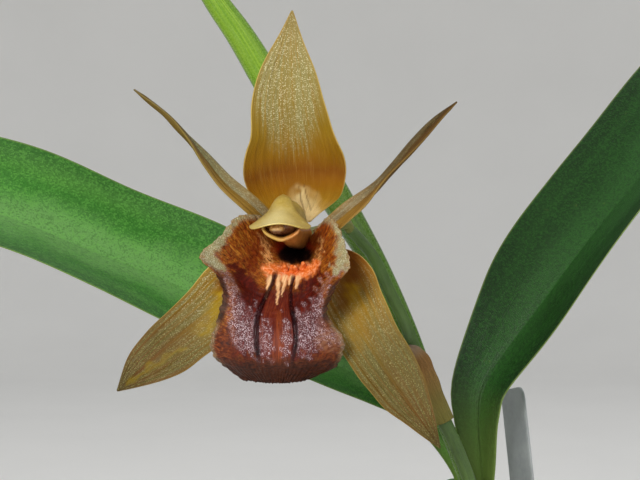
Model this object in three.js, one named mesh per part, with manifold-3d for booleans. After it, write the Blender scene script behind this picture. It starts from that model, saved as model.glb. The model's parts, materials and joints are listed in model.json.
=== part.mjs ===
// A potted coelogyne orchid with one open bloom. Millimetres, +Z up, front towards -Y.
// The origin is the middle of the pot's foot.
import * as THREE from 'three';
import Module from 'manifold-3d';
import { mergeVertices } from 'three/addons/utils/BufferGeometryUtils.js';

const wasm = await Module();
wasm.setup();

// Driving dimensions
const POT = {
  height: 112,
  foot: 47,
  rim: 66,
  wall: 5,
  floor: 7,
  band: 17,
  bandOut: 3.5,
  bevel: 1.5,
  sides: 36,
};
const DRAIN = { radius: 4.5, from: 24, count: 3, sides: 14 };
const BARK = { top: 97, chips: 38, chip: [19, 12, 6.5], spread: [0.65, 1.25], edge: 6, sides: 24 };
const CHIP = { tilt: 0.4, rough: 2.2, sink: 0.6, rise: 1.6 };
const RHIZOME = { z: 98.5, radius: 4.2, knot: 0.5, joints: 12, tip: 0.55, taper: 6 };
const LABEL = {
  width: 13,
  thick: 1,
  point: 14,
  round: 3,
  foot: [40, 17, 76],
  top: [32, 36, 173],
  across: [0.36, -0.93, 0],
};
// The clearance between two pieces that touch, and the thickness of a leaf and of a tepal
const GAP = 0.35;
const LEAF = 1.0;
const TEPAL = 0.8;

// The bloom is modelled about the point that the viewer looks at, then set in place.
const BLOOM_AT = new THREE.Vector3(-21, -58, 214);
const RECEPTACLE = { at: [-4.5, 20, 0], radius: 3, clear: 0.5, front: 17.2, back: 22.5 };

const vec = (p) => new THREE.Vector3(...p);
const radians = THREE.MathUtils.degToRad;
// The step of s and a over which a slope is measured
const STEP = 0.004;

// A seeded draw between 0 and 1, the same each run.
function seeded(seed) {
  let state = seed;
  return () => {
    state = (state + 0x6d2b79f5) | 0;
    let t = Math.imul(state ^ (state >>> 15), 1 | state);
    t = (t + Math.imul(t ^ (t >>> 7), 61 | t)) ^ t;
    return ((t ^ (t >>> 14)) >>> 0) / 4294967296;
  };
}

// A smooth curve through rows of numbers that stand at even steps of s from 0 to 1.
function spline(rows, s) {
  const last = rows.length - 1;
  const place = Math.min(Math.max(s, 0), 1) * last;
  const i = Math.min(Math.floor(place), last - 1);
  const t = place - i;
  const b = rows[i];
  const c = rows[i + 1];
  const a = i > 0 ? rows[i - 1] : b.map((v, k) => 2 * v - c[k]);
  const d = i < last - 1 ? rows[i + 2] : c.map((v, k) => 2 * v - b[k]);
  return b.map((v, k) => {
    const m0 = (c[k] - a[k]) / 2;
    const m1 = (d[k] - v) / 2;
    const e = c[k] - v;
    return v + t * (m0 + t * (3 * e - 2 * m0 - m1 + t * (m0 + m1 - 2 * e)));
  });
}

const value = (list, s) => spline(list.map((v) => [v]), s)[0];

// The same curve by arc length: returns s -> { point, along }.
function route(points) {
  const steps = 240;
  const dense = Array.from({ length: steps + 1 }, (_, i) => vec(spline(points, i / steps)));
  const far = [0];
  for (let i = 1; i <= steps; i++) {
    far.push(far[i - 1] + dense[i].distanceTo(dense[i - 1]));
  }
  const at = (s) => {
    const goal = Math.min(Math.max(s, 0), 1) * far[steps];
    let i = 1;
    while (i < steps && far[i] < goal) i++;
    const t = (goal - far[i - 1]) / (far[i] - far[i - 1]);
    return dense[i - 1].clone().lerp(dense[i], t);
  };
  return (s) => {
    const from = Math.max(s - STEP, 0);
    const to = Math.min(s + STEP, 1);
    return { point: at(s), along: at(to).sub(at(from)).normalize() };
  };
}

function geometryOf(points, faces) {
  const geometry = new THREE.BufferGeometry();
  geometry.setAttribute('position', new THREE.Float32BufferAttribute(points.flatMap((p) => p.toArray()), 3));
  geometry.setIndex(faces);
  return volumeOf(geometry) < 0 ? turned(geometry) : geometry;
}

function volumeOf(geometry) {
  const p = geometry.attributes.position;
  const index = geometry.index.array;
  const corner = (k) => new THREE.Vector3().fromBufferAttribute(p, index[k]);
  let sum = 0;
  for (let k = 0; k < index.length; k += 3) {
    sum += corner(k).dot(corner(k + 1).cross(corner(k + 2)));
  }
  return sum / 6;
}

function turned(geometry) {
  const index = Array.from(geometry.index.array);
  for (let k = 0; k < index.length; k += 3) {
    [index[k + 1], index[k + 2]] = [index[k + 2], index[k + 1]];
  }
  geometry.setIndex(index);
  return geometry;
}

// A sheet with thickness: at(s, a) gives its middle surface, s from 0 to 1 and a from -1 to 1.
// Both faces are split the same way, so they stay apart where the sheet waves.
function sheet(at, { rows, across, thick }) {
  const columns = Array.isArray(across) ? across : even(across);
  const lines = Array.from({ length: rows + 1 }, (_, i) => i / rows);
  const front = [];
  const back = [];
  for (const s of lines) {
    for (const a of columns) {
      const p = at(s, a);
      const ds = at(Math.min(s + STEP, 1), a).sub(at(Math.max(s - STEP, 0), a));
      const da = at(s, Math.min(a + STEP, 1)).sub(at(s, Math.max(a - STEP, -1)));
      const half = (typeof thick === 'function' ? thick(s, a) : thick) / 2;
      const out = ds.cross(da).normalize().multiplyScalar(half);
      front.push(p.clone().add(out));
      back.push(p.clone().sub(out));
    }
  }
  const n = columns.length;
  const other = front.length;
  const faces = [];
  for (let i = 0; i < rows; i++) {
    for (let j = 0; j < n - 1; j++) {
      const [p, q, r, t] = [i * n + j, i * n + j + 1, (i + 1) * n + j + 1, (i + 1) * n + j];
      faces.push(p, r, q, p, t, r);
      faces.push(other + p, other + q, other + r, other + p, other + r, other + t);
    }
  }
  const wall = (p, q) => faces.push(p, q, other + q, p, other + q, other + p);
  for (let j = 0; j < n - 1; j++) {
    wall(j, j + 1);
    wall(rows * n + j + 1, rows * n + j);
  }
  for (let i = 0; i < rows; i++) {
    wall((i + 1) * n, i * n);
    wall(i * n + n - 1, (i + 1) * n + n - 1);
  }
  return geometryOf([...front, ...back], faces);
}

const even = (count) => Array.from({ length: count + 1 }, (_, j) => -1 + (2 * j) / count);

// A leaf, sepal or petal. rib is its midline, face the way its upper side looks, half the widths
// left and right of the midline, cup the bend of each half in radians, fold the V along the midrib,
// and wave the height, count and phase of the ripples along its edges.
function blade({ rib, face, half, cup, fold, wave = [0, 1, 0] }) {
  const run = route(rib);
  const [lift, times, shift] = wave;
  const lag = 0.7;
  const flattest = 0.001;
  return (s, a) => {
    const { point, along } = run(s);
    const up = vec(spline(face, s));
    up.addScaledVector(along, -up.dot(along)).normalize();
    const side = along.clone().cross(up);
    const [left, right] = spline(half, s);
    const width = a < 0 ? left : right;
    const bend = Math.max(value(cup, s), flattest);
    const turn = value(fold, s);
    const reach = Math.abs(a);
    const out = (width * Math.sin(bend * reach)) / bend;
    const rise = (width * (1 - Math.cos(bend * reach))) / bend;
    const ripple = lift * reach * reach * Math.sin(Math.PI * (2 * times * s + shift + (a < 0 ? lag : 0)));
    const x = Math.sign(a) * (out * Math.cos(turn) - rise * Math.sin(turn));
    const z = out * Math.sin(turn) + rise * Math.cos(turn) + ripple * Math.sin(Math.PI * s);
    return point.addScaledVector(side, x).addScaledVector(up, z);
  };
}

// A round body along a route: radius(s, angle) gives its size, and each end closes on one point.
// The angle starts square to the seam's direction.
function rod({ rib, radius, rows, sides, seam = [0, 0, 1] }) {
  const run = route(rib);
  const rings = Array.from({ length: rows + 1 }, (_, i) => {
    const s = i / rows;
    const { point, along } = run(s);
    const side = along.clone().cross(vec(seam)).normalize();
    const up = side.clone().cross(along).normalize();
    return Array.from({ length: sides }, (_, k) => {
      const angle = (2 * Math.PI * k) / sides;
      const r = radius(s, angle);
      return point.clone()
        .addScaledVector(side, r * Math.cos(angle))
        .addScaledVector(up, r * Math.sin(angle));
    });
  });
  return ringSolid(rings, run(0).point, run(1).point);
}

function ringSolid(rings, first, last) {
  const sides = rings[0].length;
  const points = [...rings.flat(), first, last];
  const faces = [];
  for (let i = 0; i < rings.length - 1; i++) {
    for (let k = 0; k < sides; k++) {
      const next = (k + 1) % sides;
      const [p, q, r, t] = [i * sides + k, i * sides + next, (i + 1) * sides + next, (i + 1) * sides + k];
      faces.push(p, q, r, p, r, t);
    }
  }
  const top = (rings.length - 1) * sides;
  const end = rings.length * sides;
  for (let k = 0; k < sides; k++) {
    const next = (k + 1) % sides;
    faces.push(end, next, k, end + 1, top + k, top + next);
  }
  return geometryOf(points, faces);
}

// A profile of [radius, height] pairs turned about the Z axis
function lathed(profile, sides) {
  const geometry = new THREE.LatheGeometry(profile.map(([r, z]) => new THREE.Vector2(r, z)), sides);
  geometry.rotateX(Math.PI / 2);
  return volumeOf(geometry) < 0 ? turned(geometry) : geometry;
}

function solidOf(geometry) {
  const bare = geometry.clone();
  bare.deleteAttribute('normal');
  bare.deleteAttribute('uv');
  const merged = mergeVertices(bare, 1e-4);
  return new wasm.Manifold(
    new wasm.Mesh({
      numProp: 3,
      vertProperties: new Float32Array(merged.attributes.position.array),
      triVerts: new Uint32Array(merged.index.array),
    }),
  );
}

function geometryFrom(solid) {
  const mesh = solid.getMesh();
  const geometry = new THREE.BufferGeometry();
  geometry.setAttribute('position', new THREE.BufferAttribute(new Float32Array(mesh.vertProperties), 3));
  geometry.setIndex(new THREE.BufferAttribute(new Uint32Array(mesh.triVerts), 1));
  return geometry;
}

const joined = (parts) => parts.map(solidOf).reduce((all, part) => all.add(part));
const finish = (color, roughness = 0.6) => new THREE.MeshStandardMaterial({ color, roughness, metalness: 0 });

const FINISH = {
  clay: finish(0xa8623f, 0.9),
  bark: finish(0x4b2f1f, 0.95),
  bulb: finish(0x6f8f3a, 0.45),
  rhizome: finish(0x5b4a2b, 0.8),
  leaf: finish(0x2f6f2a, 0.4),
  youngLeaf: finish(0x9fc63a, 0.3),
  stem: finish(0x46702c, 0.5),
  sheath: finish(0x8a6a3a, 0.8),
  sepal: finish(0xc0a55c, 0.5),
  lip: finish(0x8a3a1c, 0.5),
  column: finish(0xe6d595, 0.45),
  anther: finish(0xb08a52, 0.6),
  label: finish(0x8d9296, 0.5),
};

function piece(name, geometry, material) {
  const mesh = new THREE.Mesh(geometry, material);
  mesh.name = name;
  return mesh;
}

// The outside of the pot's tapered wall below its band
const potRadius = (z) => POT.foot + ((POT.rim - POT.bandOut - POT.foot) / POT.height) * z;

function pot() {
  const { height, foot, rim, wall, floor, band, bandOut, bevel, sides } = POT;
  const under = height - band;
  const profile = [
    [0, 0],
    [foot - bevel, 0],
    [foot, bevel],
    [potRadius(under), under],
    [potRadius(under) + bandOut, under + bevel],
    [rim, height - bevel],
    [rim - bevel, height],
    [rim - wall + bevel / 2, height],
    [rim - wall - bevel / 2, height - bevel],
    [potRadius(floor) - wall, floor + 2 * bevel],
    [potRadius(floor) - wall - 2 * bevel, floor],
    [0, floor],
  ];
  const wallSolid = solidOf(lathed(profile, sides));
  const holes = Array.from({ length: DRAIN.count }, (_, i) => {
    const angle = (2 * Math.PI * i) / DRAIN.count + Math.PI / 2;
    return new THREE.CylinderGeometry(DRAIN.radius, DRAIN.radius, 4 * floor, DRAIN.sides)
      .rotateX(Math.PI / 2)
      .translate(DRAIN.from * Math.cos(angle), DRAIN.from * Math.sin(angle), 0);
  });
  return geometryFrom(wallSolid.subtract(joined(holes)));
}

// The crooked creeping stem, with a pseudobulb on each knee
const KNEES = [
  [10, -16],
  [14, -7],
  [18.5, 9],
  [23, 26],
  [14, 40],
  [2, 44],
  [-12, 43],
  [-22, 37],
  [-33, 28],
  [-38, 15],
  [-42, 3],
];

function rhizome(grow = 0) {
  const { z, radius, knot, joints, tip, taper } = RHIZOME;
  const rib = KNEES.map(([x, y]) => [x, y, z]);
  const knotted = (s) => radius + knot * Math.cos(2 * Math.PI * joints * s);
  const ending = (s) => Math.min(1, tip + taper * Math.min(s, 1 - s));
  return rod({ rib, radius: (s) => knotted(s) * ending(s) + grow, rows: 2 * joints, sides: 8 });
}

// An ovoid ridged body from foot to top, with a flat crown that its leaves stand on
const BULBS = {
  leading: { foot: [23, 26, 100], top: [19, 14.2, 146.5], wide: 11, crown: 5.6, ribs: 5 },
  second: { foot: [2, 44, 100], top: [2.5, 50, 126], wide: 11.5, crown: 5, ribs: 6 },
  third: { foot: [-22, 37, 100], top: [-26, 42, 124], wide: 10.5, crown: 3.8, ribs: 6 },
  oldest: { foot: [-38, 15, 100], top: [-42, 15.5, 121], wide: 9.5, crown: 2.6, ribs: 7 },
};
const BULB_FORM = [0.42, 0.84, 1, 0.93, 0.72, 0.48];
const BULB_RIDGE = 0.07;
const BULB_SUNK = 3;

function axisOf({ foot, top }) {
  return vec(top).sub(vec(foot)).normalize();
}

function pseudobulb(bulb) {
  const { foot, top, wide, crown, ribs } = bulb;
  const low = vec(foot).addScaledVector(axisOf(bulb), -BULB_SUNK).toArray();
  const radius = (s, angle) => {
    const body = wide * value(BULB_FORM, s);
    const ridge = 1 + BULB_RIDGE * Math.sin(Math.PI * s) * Math.cos(ribs * angle);
    return Math.max(body * ridge, crown * Math.min(1, 2 * s));
  };
  const body = rod({ rib: [low, top], radius, rows: 9, sides: 18, seam: [1, 0, 0] });
  return geometryFrom(solidOf(body).subtract(solidOf(rhizome(GAP))));
}

// The shoot of this year, which carries the flower stem and the rolled leaf. Its belly is low down.
const SHOOT = {
  foot: [14, -7, 99],
  top: [17.4, -0.8, 139],
  wide: 6.2,
  crown: 5,
  belly: [0.12, 1.25],
  sunk: 1,
};

function newGrowth() {
  const { foot, top, wide, crown, belly, sunk } = SHOOT;
  const swell = (s) => Math.sin(Math.PI * Math.min(1, belly[0] + belly[1] * s));
  const radius = (s) => crown + (wide - crown) * swell(s);
  const low = vec(foot).addScaledVector(axisOf(SHOOT), -sunk).toArray();
  const body = rod({ rib: [low, top], radius, rows: 6, sides: 14, seam: [1, 0, 0] });
  return geometryFrom(solidOf(body).subtract(solidOf(rhizome(GAP))));
}

// A scale wrapped round a stem: at height s it spans an arc that closes to a point at its tip.
function sheath({ rib, radius, middle, arc, flare, seam = [1, 0, 0] }) {
  const run = route(rib);
  const closing = 2.2;
  const tip = 0.004;
  const at = (s, a) => {
    const { point, along } = run(s);
    const side = along.clone().cross(vec(seam)).normalize();
    const up = side.clone().cross(along).normalize();
    const open = arc * Math.sqrt(Math.max(1 - s ** closing, tip));
    const angle = radians(middle + a * open);
    const r = radius + flare * s * s;
    return point.addScaledVector(side, r * Math.cos(angle)).addScaledVector(up, r * Math.sin(angle));
  };
  return sheet(at, { rows: 8, across: 7, thick: 0.7 });
}

const SHEATHS = [
  { from: 0.19, to: 0.6, middle: 100, arc: 120, layer: 3.2, flare: 1.6 },
  { from: 0.21, to: 0.9, middle: 285, arc: 125, layer: 2.05, flare: 1.5 },
  { from: 0.3, to: 1.25, middle: 120, arc: 115, layer: 0.9, flare: 1.2 },
];

function sheathScale({ from, to, middle, arc, layer, flare }) {
  const [foot, top] = [vec(SHOOT.foot), vec(SHOOT.top)];
  const rib = [from, (from + to) / 2, to].map((s) => foot.clone().lerp(top, s).toArray());
  return sheath({ rib, radius: SHOOT.wide + layer, middle, arc, flare });
}

// Leaves. Each stands on a bulb's crown and starts along the bulb's own axis.
function seated(bulb, [x, y], rest, straight = 8) {
  const up = axisOf(bulb);
  const right = new THREE.Vector3(1, 0, 0).addScaledVector(up, -up.x).normalize();
  const start = vec(bulb.top).addScaledVector(up, GAP).addScaledVector(right, x)
    .addScaledVector(up.clone().cross(right), y);
  return [start.toArray(), start.clone().addScaledVector(up, straight).toArray(), ...rest];
}

const LEAVES = {
  leaf_left: {
    rib: seated(BULBS.leading, [-2.85, 0], [
      [6, 12, 167],
      [-7, 9.5, 176.5],
      [-27, 4, 187],
      [-49, -2, 198.5],
      [-73, -8, 209.5],
      [-98, -13, 220],
      [-126, -18, 226],
      [-154, -22, 224],
      [-178, -26, 213],
    ]),
    face: [[-0.5, -0.8, 0.2], [0.1, -0.8, 0.55], [0.25, -0.7, 0.65], [0.2, -0.6, 0.8], [0.3, -0.4, 0.85]],
    half: [
      [2.1, 2.1], [4, 4], [14, 13], [19, 18.5], [20, 20],
      [20.2, 20], [18.5, 18.5], [12.5, 12.5], [0.6, 0.6],
    ],
    wave: [1.1, 3.2, 0.2],
  },
  leaf_right: {
    rib: seated(BULBS.leading, [2.85, 0.6], [
      [20.3, 12.3, 168],
      [23, 14, 178],
      [36.8, 18, 196],
      [54.4, 24, 217.7],
      [70, 30, 235.7],
      [93, 41, 262],
      [116, 55, 284],
      [137, 72, 297],
      [155, 90, 299],
    ]),
    face: [
      [-0.2, -0.95, 0.1], [-0.5, -0.65, 0.45], [-0.55, -0.5, 0.6],
      [-0.5, -0.4, 0.75], [-0.3, -0.3, 0.9],
    ],
    half: [
      [2.1, 2.1], [9, 9], [17.5, 18.5], [20.5, 21.2], [21.5, 22],
      [21, 21], [18, 18], [11.5, 11.5], [0.6, 0.6],
    ],
    wave: [0.9, 2.4, 0.9],
  },
  leaf_back_right: {
    rib: seated(BULBS.second, [2.6, 0], [
      [12, 60.5, 134],
      [30, 80, 130.5],
      [54, 106, 116],
      [78, 131, 91],
      [96, 151, 60],
    ], 5),
    face: [[-0.3, -0.8, 0.3], [-0.2, -0.2, 0.9], [0, 0, 1], [0.2, 0.3, 0.8], [0.3, 0.5, 0.5]],
    half: [
      [1.9, 1.9], [6, 6], [15, 15], [18, 18], [18.5, 18.5],
      [18, 18], [15.5, 15.5], [10, 10], [0.6, 0.6],
    ],
    wave: [1.2, 2.2, 0.5],
  },
  leaf_back_left: {
    rib: seated(BULBS.second, [-2.6, 0], [
      [-9, 59, 133],
      [-34, 80, 127],
      [-63, 100, 111],
      [-91, 117, 88],
      [-112, 127, 56],
    ], 5),
    face: [[0.3, -0.8, 0.3], [0.2, -0.2, 0.9], [0, 0, 1], [-0.2, 0.2, 0.8], [-0.4, 0.3, 0.6]],
    half: [
      [1.9, 1.9], [6, 6], [14.5, 14.5], [17.5, 17.5], [18, 18],
      [17, 17], [14.5, 14.5], [9, 9], [0.6, 0.6],
    ],
    wave: [1.2, 2.6, 1.1],
  },
  leaf_side: {
    rib: seated(BULBS.third, [0, 0], [
      [-36, 45, 131],
      [-62, 46, 129],
      [-94, 44, 116],
      [-123, 39, 96],
      [-144, 33, 65],
    ], 4),
    face: [[0.8, -0.3, 0.3], [0.4, -0.1, 0.9], [0, 0, 1], [-0.3, 0, 0.8], [-0.6, 0, 0.5]],
    half: [
      [1.9, 1.9], [6, 6], [14, 14], [16.5, 16.5], [17, 17],
      [16, 16], [13.5, 13.5], [8.5, 8.5], [0.6, 0.6],
    ],
    wave: [1.0, 2.4, 0.3],
  },
};
const PETIOLE = [2.4, 1.5, LEAF, LEAF, LEAF, LEAF, LEAF, LEAF, 0.8];

function leaf({ rib, face, half, wave }) {
  const at = blade({ rib, face, half, wave, cup: [0.5, 0.35, 0.3, 0.25, 0.2], fold: [0.25, 0.4, 0.3, 0.22, 0.15] });
  return sheet(at, { rows: 17, across: 6, thick: (s) => value(PETIOLE, s) });
}

// The young leaf is still rolled: a spear with one spiral edge line, widest in its upper half.
const ROLLED = {
  size: [1.9, 2, 2.1, 2.4, 3.3, 4.1, 4.1, 3.5, 2.6, 1.4, 0.35],
  edge: 0.05,
  twist: 5,
};

function youngLeaf() {
  const rib = seated(SHOOT, [0, 2.3], [
    [13.3, 3, 161.3],
    [8.3, 3.6, 172.6],
    [1, 4, 191.7],
    [-8.1, 2, 209.5],
    [-22.6, -6, 233],
    [-38.2, -14, 259.8],
    [-46, -18, 271.1],
    [-56.5, -23, 287],
    [-67.5, -29, 306],
  ]);
  const { size, edge, twist } = ROLLED;
  const radius = (s, angle) => value(size, s) * (1 + edge * Math.cos(angle - twist * s));
  return rod({ rib, radius, rows: 22, sides: 10, seam: [0, 1, 0] });
}

// The flower stem runs up behind the bloom, and the ovary ends it.
const STEM = {
  radius: [1.725, 1.35],
  rib: seated(SHOOT, [0, -2.3], [
    [13.4, -2, 161.5],
    [8, -2, 173],
    [0.5, -4.5, 192.2],
    [-3.9, -8, 201.2],
    [-7.7, -12, 209.2],
    [-11.5, -18, 214],
    [-14, -22.5, 216.5],
  ]),
};

function flowerStem() {
  const radius = (s) => value(STEM.radius, s);
  return rod({ rib: STEM.rib, radius, rows: 20, sides: 8, seam: [0, 1, 0] });
}

function stemBract() {
  const run = route(STEM.rib);
  const rib = [0.34, 0.4, 0.46, 0.52, 0.58].map((s) => run(s).point.toArray());
  return sheath({ rib, radius: 2.45, middle: -70, arc: 105, flare: 1.3, seam: [0, 1, 0] });
}

// The ovary with its stalk, ribbed, ending in the receptacle that the bloom's pieces stand round
const OVARY = { size: [1.25, 1.2, 1.45, 1.9, 2.2, RECEPTACLE.radius], ribs: 6, ridge: 0.07, straight: 2.5 };

function ovary() {
  const stem = STEM.rib;
  const end = vec(stem[stem.length - 1]).sub(BLOOM_AT);
  const before = vec(stem[stem.length - 2]).sub(BLOOM_AT);
  const along = end.clone().sub(before).normalize();
  const start = end.clone().addScaledVector(along, GAP);
  const [x, , z] = RECEPTACLE.at;
  const rib = [
    start.toArray(),
    start.clone().addScaledVector(along, OVARY.straight).toArray(),
    [0.5, 28.5, 2],
    [-3.2, 25.5, 0.6],
    [x, RECEPTACLE.back, z],
    [x, RECEPTACLE.front, z],
  ];
  const ridged = (s, angle) => 1 + OVARY.ridge * Math.sin(Math.PI * s) * Math.cos(OVARY.ribs * angle);
  const radius = (s, angle) => value(OVARY.size, s) * ridged(s, angle);
  return rod({ rib, radius, rows: 10, sides: 12 });
}

// Where a piece of the bloom leaves the receptacle, at this angle seen from the front
function rimPoint(degrees, y) {
  const reach = RECEPTACLE.radius + RECEPTACLE.clear + TEPAL / 2;
  const [x, , z] = RECEPTACLE.at;
  return [x + reach * Math.cos(radians(degrees)), y, z + reach * Math.sin(radians(degrees))];
}

const TEPALS = {
  dorsal_sepal: {
    rib: [
      rimPoint(90, 19),
      [-4.8, 17.5, 6.6],
      [-5.2, 14.5, 10.5],
      [-5.6, 11.5, 16],
      [-6.1, 7, 22.3],
      [-6.7, 2, 29.6],
      [-6.5, -1.2, 38],
      [-5.8, -2.5, 47.8],
    ],
    face: [[0, -1, 0.4], [0, -1, 0.2], [0, -1, 0], [0, -1, -0.1], [0, -1, -0.1]],
    half: [
      [2.5, 2.5], [8.8, 9.2], [11.4, 11.5], [11.4, 11.6], [9.5, 9.7],
      [8.3, 8.3], [6.3, 6.2], [3, 3], [0.4, 0.4],
    ],
    cup: [0.3, 0.5, 0.65, 0.4, 0.3],
    fold: [0, 0, 0.05, 0.1, 0.12],
  },
  lateral_sepal_left: {
    rib: [
      rimPoint(218, 19.5),
      [-11.5, 16, -6],
      [-17, 11.5, -10.8],
      [-23.5, 7.5, -15.8],
      [-30, 5, -21],
      [-36.5, 3.5, -26.6],
      [-42.9, 2, -31.9],
    ],
    face: [[0, -1, 0], [0.05, -1, 0], [0, -1, 0.1], [-0.1, -1, 0.15], [-0.1, -1, 0.1]],
    half: [
      [2, 2], [4.6, 5.6], [6.2, 8.2], [6.8, 8.5], [7, 6.9],
      [6.8, 6.1], [6.4, 5.6], [3.8, 4.1], [0.4, 0.4],
    ],
    cup: [0.5, 0.35, 0.3, 0.3, 0.3],
    fold: [0, 0.05, 0.08, 0.1, 0.12],
  },
  lateral_sepal_right: {
    rib: [
      rimPoint(310, 19.5),
      [1.5, 15.5, -8],
      [5.5, 10.5, -14.2],
      [9.8, 7, -20.8],
      [14.8, 4.8, -28.3],
      [20, 3, -36],
      [25.4, 2, -44],
    ],
    face: [[0, -1, 0], [-0.05, -1, 0], [0, -1, 0.1], [0.1, -1, 0.15], [0.1, -1, 0.1]],
    half: [[2, 2], [8, 4.6], [9.6, 5.6], [8.3, 6.2], [7, 6.4], [6.6, 6.3], [5.3, 5.5], [3, 2.9], [0.4, 0.4]],
    cup: [0.5, 0.35, 0.3, 0.3, 0.3],
    fold: [0, 0.05, 0.08, 0.1, 0.12],
  },
  petal_left: {
    rib: [
      rimPoint(160, 18.2),
      [-10.6, 11.5, 3.3],
      [-15, 6.5, 7.5],
      [-20.3, 5.5, 12],
      [-25.3, 7, 17.8],
      [-29, 8.5, 22.1],
      [-33.9, 10.5, 27.3],
      [-40.8, 13.5, 33],
    ],
    face: [[0, -1, 0.1], [0.1, -0.95, 0.2], [0.3, -0.75, 0.5], [0.6, 0.05, 0.8], [0.6, -0.25, 0.7]],
    half: [[1.2, 1.2], [2, 2], [2.2, 2.2], [1.9, 1.9], [1.4, 1.4], [1.1, 1.1], [0.4, 0.4]],
    cup: [0.3, 0.3],
    fold: [0.15, 0.3, 0.35],
  },
  petal_right: {
    rib: [
      rimPoint(20, 18.2),
      [2, 12, 2.8],
      [6, 7.5, 5.9],
      [10.6, 6.5, 9.4],
      [16, 6.5, 15.1],
      [20.6, 8, 20.6],
      [25.4, 10.5, 26],
      [29.9, 12.5, 30.2],
    ],
    face: [[0, -1, 0.1], [-0.1, -0.95, 0.2], [-0.55, -0.3, 0.8], [-0.3, -0.75, 0.5], [-0.3, -0.7, 0.6]],
    half: [[1.2, 1.2], [2, 2], [2.3, 2.3], [2.1, 2.1], [1.6, 1.6], [1.2, 1.2], [0.4, 0.4]],
    cup: [0.3, 0.3],
    fold: [0.15, 0.3, 0.35],
  },
};

function tepal({ rib, face, half, cup, fold }, narrow) {
  const at = blade({ rib, face, half, cup, fold });
  const thick = (s, a) => TEPAL * (1 - 0.2 * a * a);
  return sheet(at, { rows: narrow ? 16 : 15, across: narrow ? 4 : 6, thick });
}

// The lip, from its foot in the throat to the tip of its middle lobe. Each row holds the left
// margin, the middle and the right margin; rise and reach bend the section between them.
const LIP = {
  left: [
    [-6.2, 16.5, -0.5],
    [-11.5, 9, 4.6],
    [-15, 3.2, 5.4],
    [-17.8, -0.5, 4.6],
    [-20.6, -5, 0.8],
    [-24.4, -10, -3.2],
    [-21.6, -7.4, -6.6],
    [-20.2, -3.6, -11.2],
    [-21.2, -2.6, -16],
    [-22.8, -2.2, -21.4],
    [-20.8, 0, -26.2],
    [-16.4, 2.2, -29.2],
  ],
  middle: [
    [-4.6, 16.6, -2.2],
    [-5.1, 14.5, -3.2],
    [-5.5, 10, -5],
    [-6.2, 6.5, -7.4],
    [-7, 4, -9.6],
    [-7.6, 2, -12],
    [-8.2, 0, -14.3],
    [-8.6, -2.4, -16.6],
    [-8.8, -4.6, -19.4],
    [-8.9, -5.4, -22.8],
    [-8.9, -4.2, -26.6],
    [-9, -1.2, -29.8],
  ],
  right: [
    [-3, 16.5, -0.5],
    [0.4, 9, 3.8],
    [1.8, 4, 4.8],
    [3.4, 0.5, 3.6],
    [4.8, -3.6, 0.2],
    [6.1, -8.4, -5.2],
    [4.2, -6, -8],
    [2.2, -2.8, -12],
    [1.8, -1.6, -16.2],
    [5.2, -1, -21.6],
    [3.6, 0.8, -26],
    [-0.6, 2.2, -29],
  ],
  rise: [2, 2.2, 2.2, 2, 1.8, 1.6, 1.6, 1.6, 1.6, 1.8, 2, 2],
  reach: [1.6, 1.4, 1.4, 1.6, 1.8, 2, 2.2, 2.2, 2.2, 2.2, 2.2, 2.2],
  gutter: [0, 0, 0.6, 1.6, 2.2, 2, 1.2, 0.4, 0, 0, 0, 0],
  keel: [0.2, 0.22, 0.22, 0.22, 0.24, 0.26, 0.3, 0.36, 0.34, 0.3, 0.27, 0.25],
  keelHeight: [0, 0, 0.5, 1.1, 1.3, 1.3, 1.2, 1.2, 1.1, 0.7, 0, 0],
  keelHalf: 0.045,
  keelColumn: 0.26,
  gutterAt: 0.52,
  gutterHalf: 0.2,
  teeth: 22,
  fringe: 11,
  fringeFrom: 0.9,
  tooth: 0.35,
};

// b is the column across the lip, so spaced that the keels stay on the same two columns.
function lipSurface(s, b) {
  const middle = spline(LIP.middle, s);
  const edge = spline(b < 0 ? LIP.left : LIP.right, s);
  const keelAt = value(LIP.keel, s);
  const column = LIP.keelColumn;
  const beyond = (Math.abs(b) - column) / (1 - column);
  const far = beyond < 0 ? (Math.abs(b) * keelAt) / column : keelAt + beyond * (1 - keelAt);
  const up = far ** value(LIP.rise, s);
  const out = far ** value(LIP.reach, s);
  const gutter = value(LIP.gutter, s) * Math.exp(-(((far - LIP.gutterAt) / LIP.gutterHalf) ** 2));
  const keel = value(LIP.keelHeight, s) * Math.exp(-(((far - keelAt) / LIP.keelHalf) ** 2));
  const teeth = far ** 6 * LIP.tooth * Math.sin(2 * Math.PI * LIP.teeth * s);
  const atTip = Math.max(s - LIP.fringeFrom, 0) / (1 - LIP.fringeFrom);
  const fringe = atTip * LIP.tooth * Math.sin(2 * Math.PI * LIP.fringe * b);
  const x = middle[0] + (edge[0] - middle[0]) * far + Math.sign(b) * teeth;
  const y = middle[1] + (edge[1] - middle[1]) * out + gutter - keel;
  const z = middle[2] + (edge[2] - middle[2]) * up + teeth * 0.3 + fringe;
  return new THREE.Vector3(x, y, z);
}

// The soft horns that stand in a row across the lip's throat
const PAPILLAE = {
  at: 0.25,
  columns: [-0.42, -0.2, 0, 0.2, 0.42],
  tip: [0.15, -2.1, 0.9],
  uneven: 0.2,
  sunk: [0, 0.3, -0.2],
  radius: [0.75, 0.35],
};

function papilla(column, i) {
  const { at, tip, uneven, sunk, radius } = PAPILLAE;
  const root = lipSurface(at, column);
  const high = root.clone().add(new THREE.Vector3(tip[0] * column, tip[1], tip[2] + uneven * (i % 2)));
  const rib = [root.add(vec(sunk)).toArray(), high.toArray()];
  return rod({ rib, radius: (s) => value(radius, s), rows: 2, sides: 6 });
}

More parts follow.
